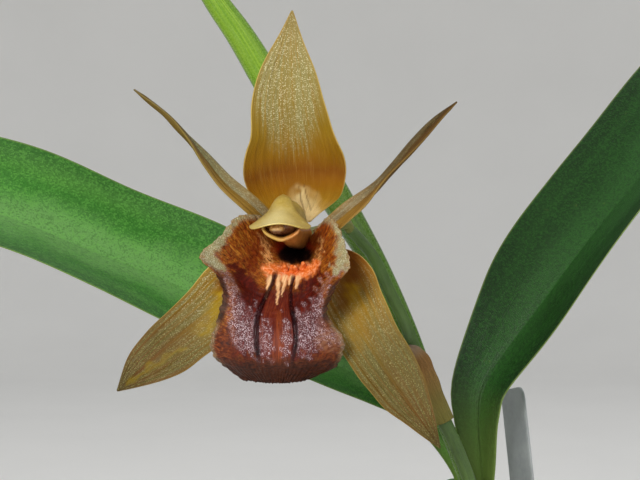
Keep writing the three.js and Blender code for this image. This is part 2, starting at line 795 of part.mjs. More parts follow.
function lip() {
  const side = [0.13, 0.21, 0.26, 0.31, 0.4, 0.56, 0.72, 0.87, 1];
  const across = [...side.map((b) => -b).reverse(), 0, ...side];
  const body = sheet(lipSurface, { rows: 24, across, thick: TEPAL });
  return geometryFrom(joined([body, ...PAPILLAE.columns.map(papilla)]));
}

// The column: a rod arched over the lip, its hood flared into two wings, and the stigma's rim
const HOOD = {
  at: [[-7.8, 3.4, 9.2], [-7.8, 2.6, 7.6], [-7.9, 1, 5.8], [-8.1, -1, 4.2], [-8.3, -2.8, 2.8]],
  wide: [0.8, 1.9, 3, 4.9, 6.4],
  deep: [0.8, 2.4, 4, 5.4, 6.4],
  arc: 100,
  notch: 0.5,
};
const STIGMA = { at: [-8, 3, 4.4], wide: [3.2, 4.2], deep: [3.6, 4.8], long: 9.2, square: 0.8, arc: 90 };
const ARCH = {
  rib: [
    [-4.5, 16.6, 2.2], [-4.7, 14, 2.7], [-5.3, 10.5, 4.8],
    [-6.4, 6, 6.1], [-7.3, 2.5, 6.1], [-7.9, -1, 5],
  ],
  thin: 1.5,
  swell: 0.9,
};
const ANTHER = { at: [-8.4, -4.9, 2.9], size: [1.55, 1.7, 1.05] };

function hoodSurface(s, a) {
  const [x, y, z] = spline(HOOD.at, s);
  const angle = radians(HOOD.arc * a);
  const across = value(HOOD.wide, s) * Math.sin(angle);
  const forward = value(HOOD.deep, s) * Math.cos(angle);
  const notch = HOOD.notch * s ** 4 * Math.cos(3 * angle);
  return new THREE.Vector3(x + across, y - forward, z + notch);
}

function stigmaSurface(s, a) {
  const { at, wide, deep, long, square, arc } = STIGMA;
  const angle = radians(arc * a);
  const x = at[0] + value(wide, s) * Math.sin(angle);
  const z = at[2] - value(deep, s) * Math.max(Math.cos(angle), 0) ** square;
  return new THREE.Vector3(x, at[1] - long * s, z);
}

function column() {
  const radius = (s) => ARCH.thin + ARCH.swell * Math.sin(Math.PI * 0.9 * s);
  const arch = rod({ rib: ARCH.rib, radius, rows: 7, sides: 10 });
  const hood = sheet(hoodSurface, { rows: 6, across: 12, thick: TEPAL });
  const stigma = sheet(stigmaSurface, { rows: 3, across: 8, thick: TEPAL });
  return geometryFrom(joined([arch, hood, stigma]));
}

function antherCap() {
  const cap = new THREE.SphereGeometry(1, 10, 7);
  return cap.scale(...ANTHER.size).translate(...ANTHER.at);
}

// Sets a shape that stands on the XY plane's origin upright along the label's own slant.
function slanted(geometry) {
  const up = vec(LABEL.top).sub(vec(LABEL.foot)).normalize();
  const across = vec(LABEL.across);
  across.addScaledVector(up, -across.dot(up)).normalize();
  const basis = new THREE.Matrix4().makeBasis(across, up, across.clone().cross(up));
  return geometry.applyMatrix4(basis.setPosition(...LABEL.foot));
}

function plantLabel() {
  const { width, thick, point, round } = LABEL;
  const half = width / 2;
  const length = vec(LABEL.top).distanceTo(vec(LABEL.foot));
  const outline = new THREE.Shape();
  outline.moveTo(-half, point);
  outline.lineTo(0, 0);
  outline.lineTo(half, point);
  outline.lineTo(half, length - round);
  outline.quadraticCurveTo(half, length, half - round, length);
  outline.lineTo(round - half, length);
  outline.quadraticCurveTo(-half, length, -half, length - round);
  const strip = new THREE.ExtrudeGeometry(outline, { depth: thick, bevelEnabled: false, curveSegments: 4 });
  return slanted(strip.translate(0, 0, -thick / 2));
}

// The turn from one chip to the next, so that they cover the round evenly
const GOLDEN = Math.PI * (3 - Math.sqrt(5));

// The fill of chipped bark: a core in the pot, chips heaped on it, and a hole for each thing in it
function pottingBark(holes) {
  const { height, wall, floor } = POT;
  const { top, chips: count, spread, edge } = BARK;
  const inner = (z) => potRadius(z) - wall - 2 * GAP;
  const corner = 4;
  const low = [
    [0, floor + GAP],
    [inner(floor) - corner, floor + GAP],
    [inner(floor), floor + corner],
  ];
  const core = lathed([...low, [inner(top), top], [0, top]], BARK.sides);
  const room = lathed([...low, [inner(height), height], [0, height]], BARK.sides);
  const draw = seeded(11);
  const reach = inner(top) - edge;
  const tilt = () => CHIP.tilt * (2 * draw() - 1);
  const chips = Array.from({ length: count }, (_, i) => {
    const [long, wide, high] = BARK.chip.map((size) => size * value(spread, draw()));
    const chip = jittered(new THREE.BoxGeometry(long, wide, high), draw, CHIP.rough);
    const far = reach * Math.sqrt((i + 0.5) / count);
    const angle = i * GOLDEN;
    chip.rotateX(tilt()).rotateY(tilt()).rotateZ(2 * Math.PI * draw());
    return chip.translate(far * Math.cos(angle), far * Math.sin(angle), top + CHIP.rise * draw() - CHIP.sink);
  });
  const heap = joined([core, ...chips]).intersect(solidOf(room));
  return geometryFrom(largest(holes.reduce((solid, hole) => solid.subtract(hole), heap)));
}

// Moves each corner of a box by a seeded draw, the same for the copies of one corner.
function jittered(box, draw, rough) {
  const moved = new Map();
  const p = box.attributes.position;
  for (let k = 0; k < p.count; k++) {
    const key = [p.getX(k), p.getY(k), p.getZ(k)].map((v) => v.toFixed(3)).join();
    if (!moved.has(key)) {
      moved.set(key, [draw() - 0.5, draw() - 0.5, draw() - 0.5].map((v) => v * rough));
    }
    const [x, y, z] = moved.get(key);
    p.setXYZ(k, p.getX(k) + x, p.getY(k) + y, p.getZ(k) + z);
  }
  return box;
}

const largest = (solid) => solid.decompose().sort((a, b) => b.volume() - a.volume())[0];

// The holes are wider than what stands in them, from below the foot up past the bark's top.
const HOLE = { tall: 26, foot: 0.6, wide: 1.15, bulbs: 4, shoot: 2, scales: 5, slot: [1.4, 60, 1] };

function holeAround({ foot, top, wide }, below) {
  const up = axisOf({ foot, top });
  const rib = [-below, HOLE.tall].map((far) => vec(foot).addScaledVector(up, far).toArray());
  const radius = (s) => wide * (HOLE.foot + (HOLE.wide - HOLE.foot) * Math.min(1, 4 * s));
  return solidOf(rod({ rib, radius, rows: 6, sides: 14, seam: [1, 0, 0] }));
}

function barkHoles() {
  const [wider, tall, thicker] = HOLE.slot;
  const slot = new THREE.BoxGeometry(LABEL.width + wider, tall, LABEL.thick + thicker);
  const scales = { ...SHOOT, wide: SHOOT.wide + HOLE.scales };
  const bulbs = Object.values(BULBS).map((bulb) => holeAround(bulb, HOLE.bulbs));
  const under = 1;
  return [
    solidOf(rhizome(2 * GAP)),
    solidOf(slanted(slot.translate(0, tall / 2 - under, 0))),
    holeAround(scales, HOLE.shoot),
    ...bulbs,
  ];
}

const orchid = new THREE.Group();
orchid.add(piece('pot', pot(), FINISH.clay));
orchid.add(piece('potting_bark', pottingBark(barkHoles()), FINISH.bark));
orchid.add(piece('rhizome', rhizome(), FINISH.rhizome));
for (const [name, bulb] of Object.entries(BULBS)) {
  orchid.add(piece(`pseudobulb_${name}`, pseudobulb(bulb), FINISH.bulb));
}
orchid.add(piece('new_growth', newGrowth(), FINISH.stem));
SHEATHS.forEach((scale, i) => orchid.add(piece(`sheath_scale_${i + 1}`, sheathScale(scale), FINISH.sheath)));
for (const [name, shape] of Object.entries(LEAVES)) {
  orchid.add(piece(name, leaf(shape), FINISH.leaf));
}
orchid.add(piece('young_leaf', youngLeaf(), FINISH.youngLeaf));
orchid.add(piece('flower_stem', flowerStem(), FINISH.stem));
orchid.add(piece('stem_bract', stemBract(), FINISH.sheath));
orchid.add(piece('plant_label', plantLabel(), FINISH.label));

const bloom = new THREE.Group();
bloom.position.copy(BLOOM_AT);
bloom.add(piece('ovary', ovary(), FINISH.stem));
for (const [name, shape] of Object.entries(TEPALS)) {
  bloom.add(piece(name, tepal(shape, name.startsWith('petal')), FINISH.sepal));
}
bloom.add(piece('lip', lip(), FINISH.lip));
bloom.add(piece('column', column(), FINISH.column));
bloom.add(piece('anther_cap', antherCap(), FINISH.anther));
orchid.add(bloom);

export default orchid;
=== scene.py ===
"""A potted coelogyne orchid with one open bloom.

Metres, +Z up, front towards -Y, with the origin in the middle of the pot's foot. Forms are worked out
in millimetres and scaled once, when a mesh is made. The bloom's forms stand about BLOOM_AT, with x to
the right, y away from the viewer and z up.
"""

import json
import logging
from dataclasses import dataclass, field
from enum import Enum
from typing import Any, Callable, Sequence

import bpy
import numpy as np
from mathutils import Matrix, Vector

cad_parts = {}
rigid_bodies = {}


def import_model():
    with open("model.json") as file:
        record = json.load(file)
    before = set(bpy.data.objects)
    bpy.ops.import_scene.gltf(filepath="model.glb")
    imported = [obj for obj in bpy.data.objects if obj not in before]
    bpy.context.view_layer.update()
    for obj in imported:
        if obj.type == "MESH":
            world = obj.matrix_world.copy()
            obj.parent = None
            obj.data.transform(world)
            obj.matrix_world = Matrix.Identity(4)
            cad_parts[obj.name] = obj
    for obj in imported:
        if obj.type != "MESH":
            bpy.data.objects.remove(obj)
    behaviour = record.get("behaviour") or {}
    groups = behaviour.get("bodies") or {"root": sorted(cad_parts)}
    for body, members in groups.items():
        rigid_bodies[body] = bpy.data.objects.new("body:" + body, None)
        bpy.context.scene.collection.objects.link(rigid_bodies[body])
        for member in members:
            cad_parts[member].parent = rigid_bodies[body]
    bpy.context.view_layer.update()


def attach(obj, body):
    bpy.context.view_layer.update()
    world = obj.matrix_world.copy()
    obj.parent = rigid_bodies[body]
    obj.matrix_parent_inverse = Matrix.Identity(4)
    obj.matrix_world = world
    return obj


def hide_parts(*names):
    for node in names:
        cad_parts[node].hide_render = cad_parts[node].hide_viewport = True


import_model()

Array = np.ndarray
Point = tuple[float, float, float]
Field = Callable[[Array, Array], Array]
Socket = bpy.types.NodeSocket

LOG = logging.getLogger("orchid")
MM = 0.001
# The step of s or a that a slope is taken over, and the clearance between two pieces that touch
STEP = 0.004
GAP = 0.35
LEAF_THICK = 1.0
TEPAL_THICK = 0.8
# The bloom's middle, the camera, the frame, and the width of a pixel at the bloom, VIEW_REACH from the camera
BLOOM_AT = np.array([-21.0, -58.0, 214.0])
EYE = np.array([-21.0, -358.0, 214.0])
FRAME_PX = (640, 480)
PX_AT_BLOOM = 0.21
VIEW_REACH = 300.0
# How a sheet's margins are rounded, the angles of a dome's rings, the dome of a flat end, and how far the
# ripples on a blade's left margin lag
MARGIN_POWER = 14
MARGIN_LEAST = 0.08
DOME_RINGS = (35, 65)
FLAT_DOME = 0.05
RIPPLE_LAG = 0.7


class Slot(Enum):
    """The record's material slots."""

    CLAY = "clay"
    BARK = "bark"
    RHIZOME = "rhizome"
    PSEUDOBULB = "pseudobulb"
    LEAF = "leaf"
    YOUNG_LEAF = "young_leaf"
    STEM = "stem"
    SHEATH = "sheath"
    TEPAL = "tepal"
    LIP = "lip"
    COLUMN = "column"
    ANTHER = "anther"
    LABEL = "label"


def unit(v: Array) -> Array:
    """Vectors divided by their length."""
    return v / np.maximum(np.linalg.norm(v, axis=-1, keepdims=True), 1e-12)


def smooth(x: Array, low: float, high: float) -> Array:
    """A smooth step: t*t*(3 - 2t), where t goes from 0 at low to 1 at high."""
    t = np.clip((x - low) / (high - low), 0, 1)
    return t * t * (3 - 2 * t)


def bell(x: Array, middle: float, width: float) -> Array:
    """A bell curve: e to the power of -((x - middle) / width) squared."""
    return np.exp(-(((x - middle) / width) ** 2))


def spline(rows: Sequence, s: Array) -> Array:
    """A smooth curve through rows that stand at even steps of s from 0 to 1.

    Each span is a cubic whose slope at a row is half of the step from the row before to the row after.

    Args:
        rows: Numbers, or lists of numbers, one for each step.
        s: Where to read the curve.

    Returns:
        The values, with the shape of s, and one more axis if the rows are lists.
    """
    table = np.asarray(rows, float)
    single = table.ndim == 1
    table = table[:, None] if single else table
    padded = np.vstack([2 * table[0] - table[1], table, 2 * table[-1] - table[-2]])
    place = np.clip(np.asarray(s, float), 0, 1) * (len(table) - 1)
    i = np.minimum(place.astype(int), len(table) - 2)
    t = (place - i)[..., None]
    a, b, c, d = (padded[i + k] for k in range(4))
    m0, m1, e = (c - a) / 2, (d - b) / 2, c - b
    out = b + t * (m0 + t * (3 * e - 2 * m0 - m1 + t * (m0 + m1 - 2 * e)))
    return out[..., 0] if single else out


def ripple(points: Array, wavelength: float, seed: int, waves: int = 14) -> Array:
    """Smooth seeded noise: the mean of sines of points dot k, with k in random directions.

    Args:
        points: Places, with their coordinates on the last axis.
        wavelength: The typical length of a wave, in the points' unit.
        seed: The draw's seed.
        waves: How many sines are summed.

    Returns:
        Values about 0, nearly all between -1 and 1.
    """
    draw = np.random.default_rng(seed)
    turn = unit(draw.normal(size=(waves, points.shape[-1])))
    k = turn * (2 * np.pi / wavelength) * draw.uniform(0.6, 1.6, (waves, 1))
    phase = draw.uniform(0, 2 * np.pi, waves)
    return np.sin(points @ k.T + phase).sum(-1) / np.sqrt(waves / 2) / 1.6


class Route:
    """A smooth curve through points, followed by its length."""

    def __init__(self, points: Sequence[Sequence[float]], steps: int = 960) -> None:
        """Measures the curve.

        Args:
            points: The points that the curve passes through, in millimetres.
            steps: How many straight steps its length is summed over.
        """
        self.dense = spline(points, np.linspace(0, 1, steps + 1))
        step = np.linalg.norm(np.diff(self.dense, axis=0), axis=1)
        self.far = np.concatenate([[0], np.cumsum(step)])
        self.length = float(self.far[-1])

    def at(self, s: Array) -> Array:
        """The points at these shares of the length."""
        goal = np.clip(s, 0, 1) * self.length
        return np.stack([np.interp(goal, self.far, self.dense[:, k]) for k in range(3)], -1)

    def along(self, s: Array) -> Array:
        """The unit directions at these shares of the length."""
        return unit(self.at(np.minimum(s + STEP, 1)) - self.at(np.maximum(s - STEP, 0)))


@dataclass
class Shape:
    """A closed mesh in the making, in millimetres."""

    points: Array
    quads: Array
    tris: Array = field(default_factory=lambda: np.zeros((0, 3), int))
    marks: dict[str, Array] = field(default_factory=dict)

    def outward(self) -> "Shape":
        """Turns every face over if the signed volume, the sum of a.(b x c) / 6, is negative.

        Returns:
            The shape itself.
        """
        q = self.quads
        corners = np.concatenate([q[:, [0, 1, 2]], q[:, [0, 2, 3]], self.tris])
        a, b, c = (self.points[corners[:, k]] for k in range(3))
        if np.einsum("ij,ij->", a, np.cross(b, c)) < 0:
            self.quads, self.tris = self.quads[:, ::-1], self.tris[:, ::-1]
        return self

    def moved(self, by: Array) -> "Shape":
        """The shape moved by a vector."""
        return Shape(self.points + by, self.quads, self.tris, self.marks)

    @staticmethod
    def joined(shapes: Sequence["Shape"]) -> "Shape":
        """Several shapes in one mesh. A mark that a shape lacks is 0 on it.

        Args:
            shapes: The shapes.

        Returns:
            The one shape.
        """
        starts = np.cumsum([0] + [len(s.points) for s in shapes])
        names = sorted({name for s in shapes for name in s.marks})
        width = {n: next(s.marks[n].ndim for s in shapes if n in s.marks) for n in names}
        blank = {n: (lambda k, w=width[n]: np.zeros((k, 3) if w == 2 else k)) for n in names}
        return Shape(
            np.concatenate([s.points for s in shapes]),
            np.concatenate([s.quads + k for s, k in zip(shapes, starts)]),
            np.concatenate([s.tris + k for s, k in zip(shapes, starts)]),
            {n: np.concatenate([s.marks.get(n, blank[n](len(s.points))) for s in shapes]) for n in names},
        )

    def mesh(self, name: str) -> bpy.types.Mesh:
        """The shape as a mesh in metres, smooth shaded, with each mark as a point attribute.

        Args:
            name: The mesh's name.

        Returns:
            The mesh.
        """
        mesh = bpy.data.meshes.new(name)
        corners = np.concatenate([self.quads.ravel(), self.tris.ravel()])
        sizes = np.concatenate([np.full(len(self.quads), 4), np.full(len(self.tris), 3)])
        mesh.vertices.add(len(self.points))
        mesh.vertices.foreach_set("co", (self.points * MM).astype(np.float32).ravel())
        mesh.loops.add(len(corners))
        mesh.loops.foreach_set("vertex_index", corners.astype(np.int32))
        mesh.polygons.add(len(sizes))
        mesh.polygons.foreach_set("loop_start", (np.cumsum(sizes) - sizes).astype(np.int32))
        mesh.update(calc_edges=True)
        mesh.polygons.foreach_set("use_smooth", np.ones(len(sizes), bool))
        for mark, values in self.marks.items():
            kind, key = ("FLOAT_VECTOR", "vector") if values.ndim == 2 else ("FLOAT", "value")
            mesh.attributes.new(mark, kind, "POINT").data.foreach_set(key, values.astype(np.float32).ravel())
        mesh.validate()
        return mesh


def piece(
    name: str, shape: Shape | bpy.types.Mesh, material: bpy.types.Material, node: str
) -> None:
    """Puts one finished piece in the scene, on the plant's one body.

    Args:
        name: The piece's name.
        shape: Its closed shape, or its mesh in metres.
        material: Its finish.
        node: The solid that it stands for.
    """
    mesh = shape.mesh(name) if isinstance(shape, Shape) else shape
    made = bpy.data.objects.new(name, mesh)
    bpy.context.scene.collection.objects.link(made)
    mesh.materials.clear()
    mesh.materials.append(material)
    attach(made, "root")
    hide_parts(node)
    LOG.info("%s: %d faces", name, len(mesh.polygons))


def capped(rings: Array, low: Array, high: Array, marks: dict[str, Array] | None = None) -> Shape:
    """A closed solid from rings of points and the two poles that close its ends.

    Args:
        rings: The points, with the ring and the step round it on the first two axes.
        low: The pole before the first ring.
        high: The pole after the last ring.
        marks: Marks for the rings' points and then the two poles.

    Returns:
        The solid.
    """
    count, sides = rings.shape[:2]
    n = count * sides
    first, last = np.arange(sides), np.arange(n - sides, n)
    tris = np.concatenate(
        [
            np.stack([np.roll(first, -1), first, np.full(sides, n)], -1),
            np.stack([last, np.roll(last, -1), np.full(sides, n + 1)], -1),
        ]
    )
    points = np.concatenate([rings.reshape(-1, 3), [low, high]])
    return Shape(points, grid_quads(count, sides, wrap=True), tris, marks or {}).outward()


def globe(rings: int, sides: int) -> Shape:
    """A ball of radius 1: (sin u cos v, sin u sin v, cos u), closed by a pole at each end.

    Args:
        rings: How many rings lie between the poles.
        sides: How many steps round each ring.

    Returns:
        The ball.
    """
    turn = np.pi / (rings + 1)
    u, v = np.meshgrid(np.arange(1, rings + 1) * turn, np.arange(sides) * 2 * np.pi / sides, indexing="ij")
    ball = np.stack([np.sin(u) * np.cos(v), np.sin(u) * np.sin(v), np.cos(u)], -1)
    return capped(ball, np.array([0, 0, 1.0]), np.array([0, 0, -1.0]))


def grid_quads(rows: int, columns: int, wrap: bool = False) -> Array:
    """The quads of a grid of points that is stored row by row, closed round its columns if wrap is set.

    Args:
        rows: How many rows of points.
        columns: How many points in a row.
        wrap: Whether the last column meets the first.

    Returns:
        The corners of each quad.
    """
    i = np.arange(rows * columns).reshape(rows, columns)
    i = np.concatenate([i, i[:, :1]], 1) if wrap else i
    return np.stack([i[:-1, :-1], i[:-1, 1:], i[1:, 1:], i[1:, :-1]], -1).reshape(-1, 4)


def spaced(count: int, crowd: float = 0.35) -> Array:
    """Columns from -1 to 1 that stand closer at the two margins: a blend of even steps and a sine."""
    t = np.linspace(-1, 1, count)
    return (1 - crowd) * t + crowd * np.sin(t * np.pi / 2)


def sheet(
    at: Field, rows: Array, columns: Array, thick: Field | float, front: int = 1, relief: Field | None = None
) -> Shape:
    """A thin solid about a middle surface.

    Each face lies half of the thickness from the surface along its normal, ds x da, and the thickness
    falls off as the root of 1 - |a|^14 towards the margins, which rounds them, but not below the root
    of MARGIN_LEAST. The relief moves both faces the same way.

    Args:
        at: The middle surface, from s (0 to 1) and a (-1 to 1) to points.
        rows: The values of s.
        columns: The values of a.
        thick: The thickness, a number or a field.
        front: 1 if the front lies against ds x da, and -1 if it lies with it.
        relief: How far the surface is raised towards its front.

    Returns:
        The solid, with its place (s, a, 1 on the front and 0 on the back) as a mark.
    """
    s, a = np.meshgrid(rows, columns, indexing="ij")
    middle = at(s, a)
    ds = at(np.minimum(s + STEP, 1), a) - at(np.maximum(s - STEP, 0), a)
    da = at(s, np.minimum(a + STEP, 1)) - at(s, np.maximum(a - STEP, -1))
    normal = -front * unit(np.cross(ds, da))
    falloff = np.sqrt(np.clip(1 - np.abs(a) ** MARGIN_POWER, MARGIN_LEAST, 1))
    half = (thick(s, a) if callable(thick) else thick) / 2 * falloff
    raised = relief(s, a) if relief else 0 * s
    faces = [middle + normal * (raised + side * half)[..., None] for side in (1, -1)]
    n = s.size
    i = np.arange(n).reshape(s.shape)
    loop = np.concatenate([i[0, :-1], i[:-1, -1], i[-1, :0:-1], i[:0:-1, 0]])
    after = np.roll(loop, -1)
    top = grid_quads(*s.shape)
    quads = np.concatenate([top, top[:, ::-1] + n, np.stack([after, loop, loop + n, after + n], -1)])
    place = [np.stack([s, a, np.full(s.shape, side)], -1).reshape(-1, 3) for side in (1.0, 0.0)]
    points = np.concatenate([f.reshape(-1, 3) for f in faces])
    return Shape(points, quads, marks={"place": np.concatenate(place)}).outward()


def rod(
    points: Sequence[Sequence[float]],
    radius: Field,
    rows: int,
    sides: int,
    seam: Point = (0, 0, 1),
    dome: float = 0.5,
) -> Shape:
    """A round body along a route, with a low dome on each end.

    A ring at s is point + r cos(angle) side + r sin(angle) up, where side is square to the route and
    the seam's direction. A dome's rings shrink as cos t while they move out as dome r sin t.

    Args:
        points: The route's points.
        radius: The radius, from s and the angle.
        rows: How many steps along the route.
        sides: How many sides round it.
        seam: The direction that angle 0 is square to.
        dome: The height of each end's dome, as a share of its radius.

    Returns:
        The solid, with (s, cos angle, sin angle) as its place.
    """
    route = Route(points)
    line = np.linspace(0, 1, rows + 1)
    s, angle = np.meshgrid(line, np.arange(sides) * 2 * np.pi / sides, indexing="ij")
    along = route.along(line)
    side = unit(np.cross(along, np.asarray(seam, float)))
    up = unit(np.cross(side, along))
    r = radius(s, angle)[..., None]
    reach = r * (np.cos(angle)[..., None] * side[:, None] + np.sin(angle)[..., None] * up[:, None])
    centre = route.at(line)
    rings, shares = [centre[:, None] + reach], [s]
    for end, way in ((0, -1), (-1, 1)):
        high = dome * r[end].mean() * along[end] * way
        for t in np.radians(DOME_RINGS):
            ring = (centre[end] + high * np.sin(t) + reach[end] * np.cos(t))[None]
            rings = [ring, *rings] if way < 0 else [*rings, ring]
            shares = [s[end][None], *shares] if way < 0 else [*shares, s[end][None]]
    body, share = np.concatenate(rings), np.concatenate(shares)
    poles = np.stack([centre[end] + dome * r[end].mean() * along[end] * way for end, way in ((0, -1), (-1, 1))])
    turn = np.broadcast_to(angle[0], share.shape)
    place = np.stack([share, np.cos(turn), np.sin(turn)], -1).reshape(-1, 3)
    return capped(body, poles[0], poles[1], {"place": np.concatenate([place, [[0, 0, 0], [1, 0, 0]]])})


@dataclass(frozen=True)
class Blade:
    """The middle surface of a leaf, sepal or petal.

    rib is the midline, face the way that the upper side looks, half the widths left and right of the
    midline, cup the bend of each half in radians, fold the V along the midrib, and wave the height,
    count and phase of the ripples along the margins.
    """

    rib: Sequence[Sequence[float]]
    face: Sequence[Sequence[float]]
    half: Sequence[Sequence[float]]
    cup: Sequence[float]
    fold: Sequence[float]
    wave: tuple[float, float, float] = (0, 1, 0)

    def surface(self) -> Field:
        """The surface as a function of s and a.

        Half of the section is an arc: out = w sin(cup |a|) / cup and rise = w (1 - cos(cup |a|)) / cup,
        which the fold then turns about the midrib. The ripple is lift a^2 sin(pi (2 times s + phase))
        sin(pi s), and lags by RIPPLE_LAG on the left.

        Returns:
            The surface.
        """
        route = Route(self.rib)
        lift, times, shift = self.wave

        def at(s: Array, a: Array) -> Array:
            """The middle surface at these places.

            Args:
                s: Shares of the length.
                a: Places across.

            Returns:
                The points.
            """
            along = route.along(s)
            up = spline(self.face, s)
            up = unit(up - np.sum(up * along, -1, keepdims=True) * along)
            side = np.cross(along, up)
            half = spline(self.half, s)
            width = np.where(a < 0, half[..., 0], half[..., 1])
            bend, turn, reach = np.maximum(spline(self.cup, s), 0.001), spline(self.fold, s), np.abs(a)
            out = width * np.sin(bend * reach) / bend
            rise = width * (1 - np.cos(bend * reach)) / bend
            phase = 2 * times * s + shift + np.where(a < 0, RIPPLE_LAG, 0)
            ripples = lift * reach * reach * np.sin(np.pi * phase) * np.sin(np.pi * s)
            x = np.sign(a) * (out * np.cos(turn) - rise * np.sin(turn))
            z = out * np.sin(turn) + rise * np.cos(turn) + ripples
            return route.at(s) + side * x[..., None] + up * z[..., None]

        return at


def colour(code: str) -> tuple[float, float, float, float]:
    """A colour as a shader wants it, from the six hex digits of its screen value.

    Args:
        code: The six digits.

    Returns:
        Red, green, blue and alpha.
    """
    c = np.array([int(code[k : k + 2], 16) / 255 for k in (0, 2, 4)])
    linear = np.where(c <= 0.04045, c / 12.92, ((c + 0.055) / 1.055) ** 2.4)
    return (*(float(v) for v in linear), 1.0)


class Graph:
    """Builds one material's nodes."""

    def __init__(self, name: str) -> None:
        """Starts an empty material of this name.

        Args:
            name: The material's name.
        """
        self.material = bpy.data.materials.new(name)
        self.material.use_nodes = True
        self.tree = self.material.node_tree
        self.tree.nodes.clear()

    def add(self, kind: str, inputs: dict[Any, Any] | None = None, **settings: Any) -> bpy.types.Node:
        """Adds a node.

        Args:
            kind: The node's type, without ShaderNode.
            inputs: What goes into each socket: another node's socket, or a constant.
            settings: The node's own settings.

        Returns:
            The node.
        """
        node = self.tree.nodes.new("ShaderNode" + kind)
        for key, value in settings.items():
            setattr(node, key, value)
        for key, value in (inputs or {}).items():
            if isinstance(value, Socket):
                self.tree.links.new(value, node.inputs[key])
            else:
                node.inputs[key].default_value = value
        return node

    def here(self) -> Socket:
        """The place in the piece's own coordinates, in metres."""
        return self.add("TexCoord").outputs["Object"]

    def mark(self, name: str) -> Socket:
        """A number that the mesh holds at each point."""
        return self.add("Attribute", attribute_name=name).outputs["Fac"]

    def place(self, scale: Point = (1, 1, 1)) -> Socket:
        """The place mark as a vector, each part times its scale."""
        node = self.add("Attribute", attribute_name="place")
        return self.add("VectorMath", {0: node.outputs["Vector"], 1: scale}, operation="MULTIPLY").outputs[0]

    def parts(self, vector: Socket) -> tuple[Socket, Socket, Socket]:
        """The three parts of a vector."""
        node = self.add("SeparateXYZ", {0: vector})
        return tuple(node.outputs)

    def noise(self, vector: Socket, scale: float, detail: float = 2, rough: float = 0.5, warp: float = 0) -> Socket:
        """Cloudy noise from 0 to 1."""
        inputs = {"Vector": vector, "Scale": scale, "Detail": detail, "Roughness": rough, "Distortion": warp}
        return self.add("TexNoise", inputs).outputs[0]

    def cells(self, vector: Socket, scale: float) -> tuple[Socket, Socket]:
        """A pattern of cells: the distance to the nearest middle, and a random number for each cell."""
        node = self.add("TexVoronoi", {"Vector": vector, "Scale": scale}, feature="F1")
        return node.outputs["Distance"], self.parts(node.outputs["Color"])[0]

    def math(self, operation: str, a: Any, b: Any = 0.0, clamp: bool = False) -> Socket:
        """A sum on numbers."""
        return self.add("Math", {0: a, 1: b}, operation=operation, use_clamp=clamp).outputs[0]

    def plus(self, a: Any, b: Any) -> Socket:
        """a + b."""
        return self.math("ADD", a, b)

    def capped_sum(self, a: Any, b: Any) -> Socket:
        """a + b, held between 0 and 1."""
        return self.math("ADD", a, b, clamp=True)

    def minus(self, a: Any, b: Any) -> Socket:
        """a - b."""
        return self.math("SUBTRACT", a, b)

    def times(self, a: Any, b: Any) -> Socket:
        """a * b."""
        return self.math("MULTIPLY", a, b)

    def stirred(self, value: Socket, noise: Socket, amount: float) -> Socket:
        """The value moved by noise: value + (noise - 0.5) amount."""
        return self.plus(value, self.times(self.minus(noise, 0.5), amount))

    def mean(self, a: Socket, b: Socket, share: float) -> Socket:
        """A weighted mean: share a + (1 - share) b."""
        return self.plus(self.times(a, share), self.times(b, 1 - share))

    def step(self, value: Socket, low: float, high: float, start: float = 0, end: float = 1) -> Socket:
        """A smooth step of the value from low to high, which gives start to end."""
        inputs = {"Value": value, "From Min": low, "From Max": high, "To Min": start, "To Max": end}
        return self.add("MapRange", inputs, interpolation_type="SMOOTHSTEP").outputs[0]

    def ramp(self, value: Socket, stops: Sequence[tuple[float, str]]) -> Socket:
        """A colour that runs through these stops, each a place from 0 to 1 and a hex colour.

        Args:
            value: What picks the colour.
            stops: The stops, in order.

        Returns:
            The colour.
        """
        node = self.add("ValToRGB", {0: value})
        elements = node.color_ramp.elements
        for k, (place, code) in enumerate(stops):
            element = elements[k] if k < 2 else elements.new(place)
            element.position, element.color = place, colour(code)
        return node.outputs[0]

    def blend(self, share: Any, a: Any, b: Any, mode: str = "MIX") -> Socket:
        """Two colours mixed. A hex code stands for its colour.

        Args:
            share: How much of b shows.
            a: The first colour.
            b: The second colour.
            mode: Blender's name for the way they mix.

        Returns:
            The colour.
        """
        a, b = (colour(c) if isinstance(c, str) else c for c in (a, b))
        node = self.add("Mix", {0: share, 6: a, 7: b}, data_type="RGBA", blend_type=mode)
        return node.outputs[2]

    def coats(self, tone: Any, *coats: tuple[Any, Any]) -> Socket:
        """Colours laid over a tone one after another.

        Args:
            tone: The first colour.
            coats: How much of each colour shows, and the colour.

        Returns:
            The colour.
        """
        for share, colour_over in coats:
            tone = self.blend(share, tone, colour_over)
        return tone

    def bump(self, height: Socket, millimetres: float, below: Socket | None = None) -> Socket:
        """A bumped normal for a height from 0 to 1 that stands for this many millimetres.

        Args:
            height: The height.
            millimetres: How high 1 stands.
            below: The normal that this one is laid over.

        Returns:
            The normal.
        """
        inputs = {"Height": height, "Distance": millimetres * MM, "Strength": 1.0}
        if below is not None:
            inputs["Normal"] = below
        return self.add("Bump", inputs).outputs[0]

    def finish(self, tone: Any, rough: Any, normal: Socket | None = None, **more: float) -> bpy.types.Material:
        """Closes the graph on one surface shader.

        Args:
            tone: The base colour.
            rough: The roughness, a socket or a number.
            normal: The bumped normal.
            more: Constants for the shader's own sockets, with _ for a space.

        Returns:
            The material.
        """
        inputs = {"Base Color": tone, "Roughness": rough}
        if normal is not None:
            inputs["Normal"] = normal
        inputs |= {key.replace("_", " "): value for key, value in more.items()}
        shader = self.add("BsdfPrincipled", inputs)
        shader.subsurface_method = "RANDOM_WALK"
        self.add("OutputMaterial", {0: shader.outputs[0]})
        return self.material


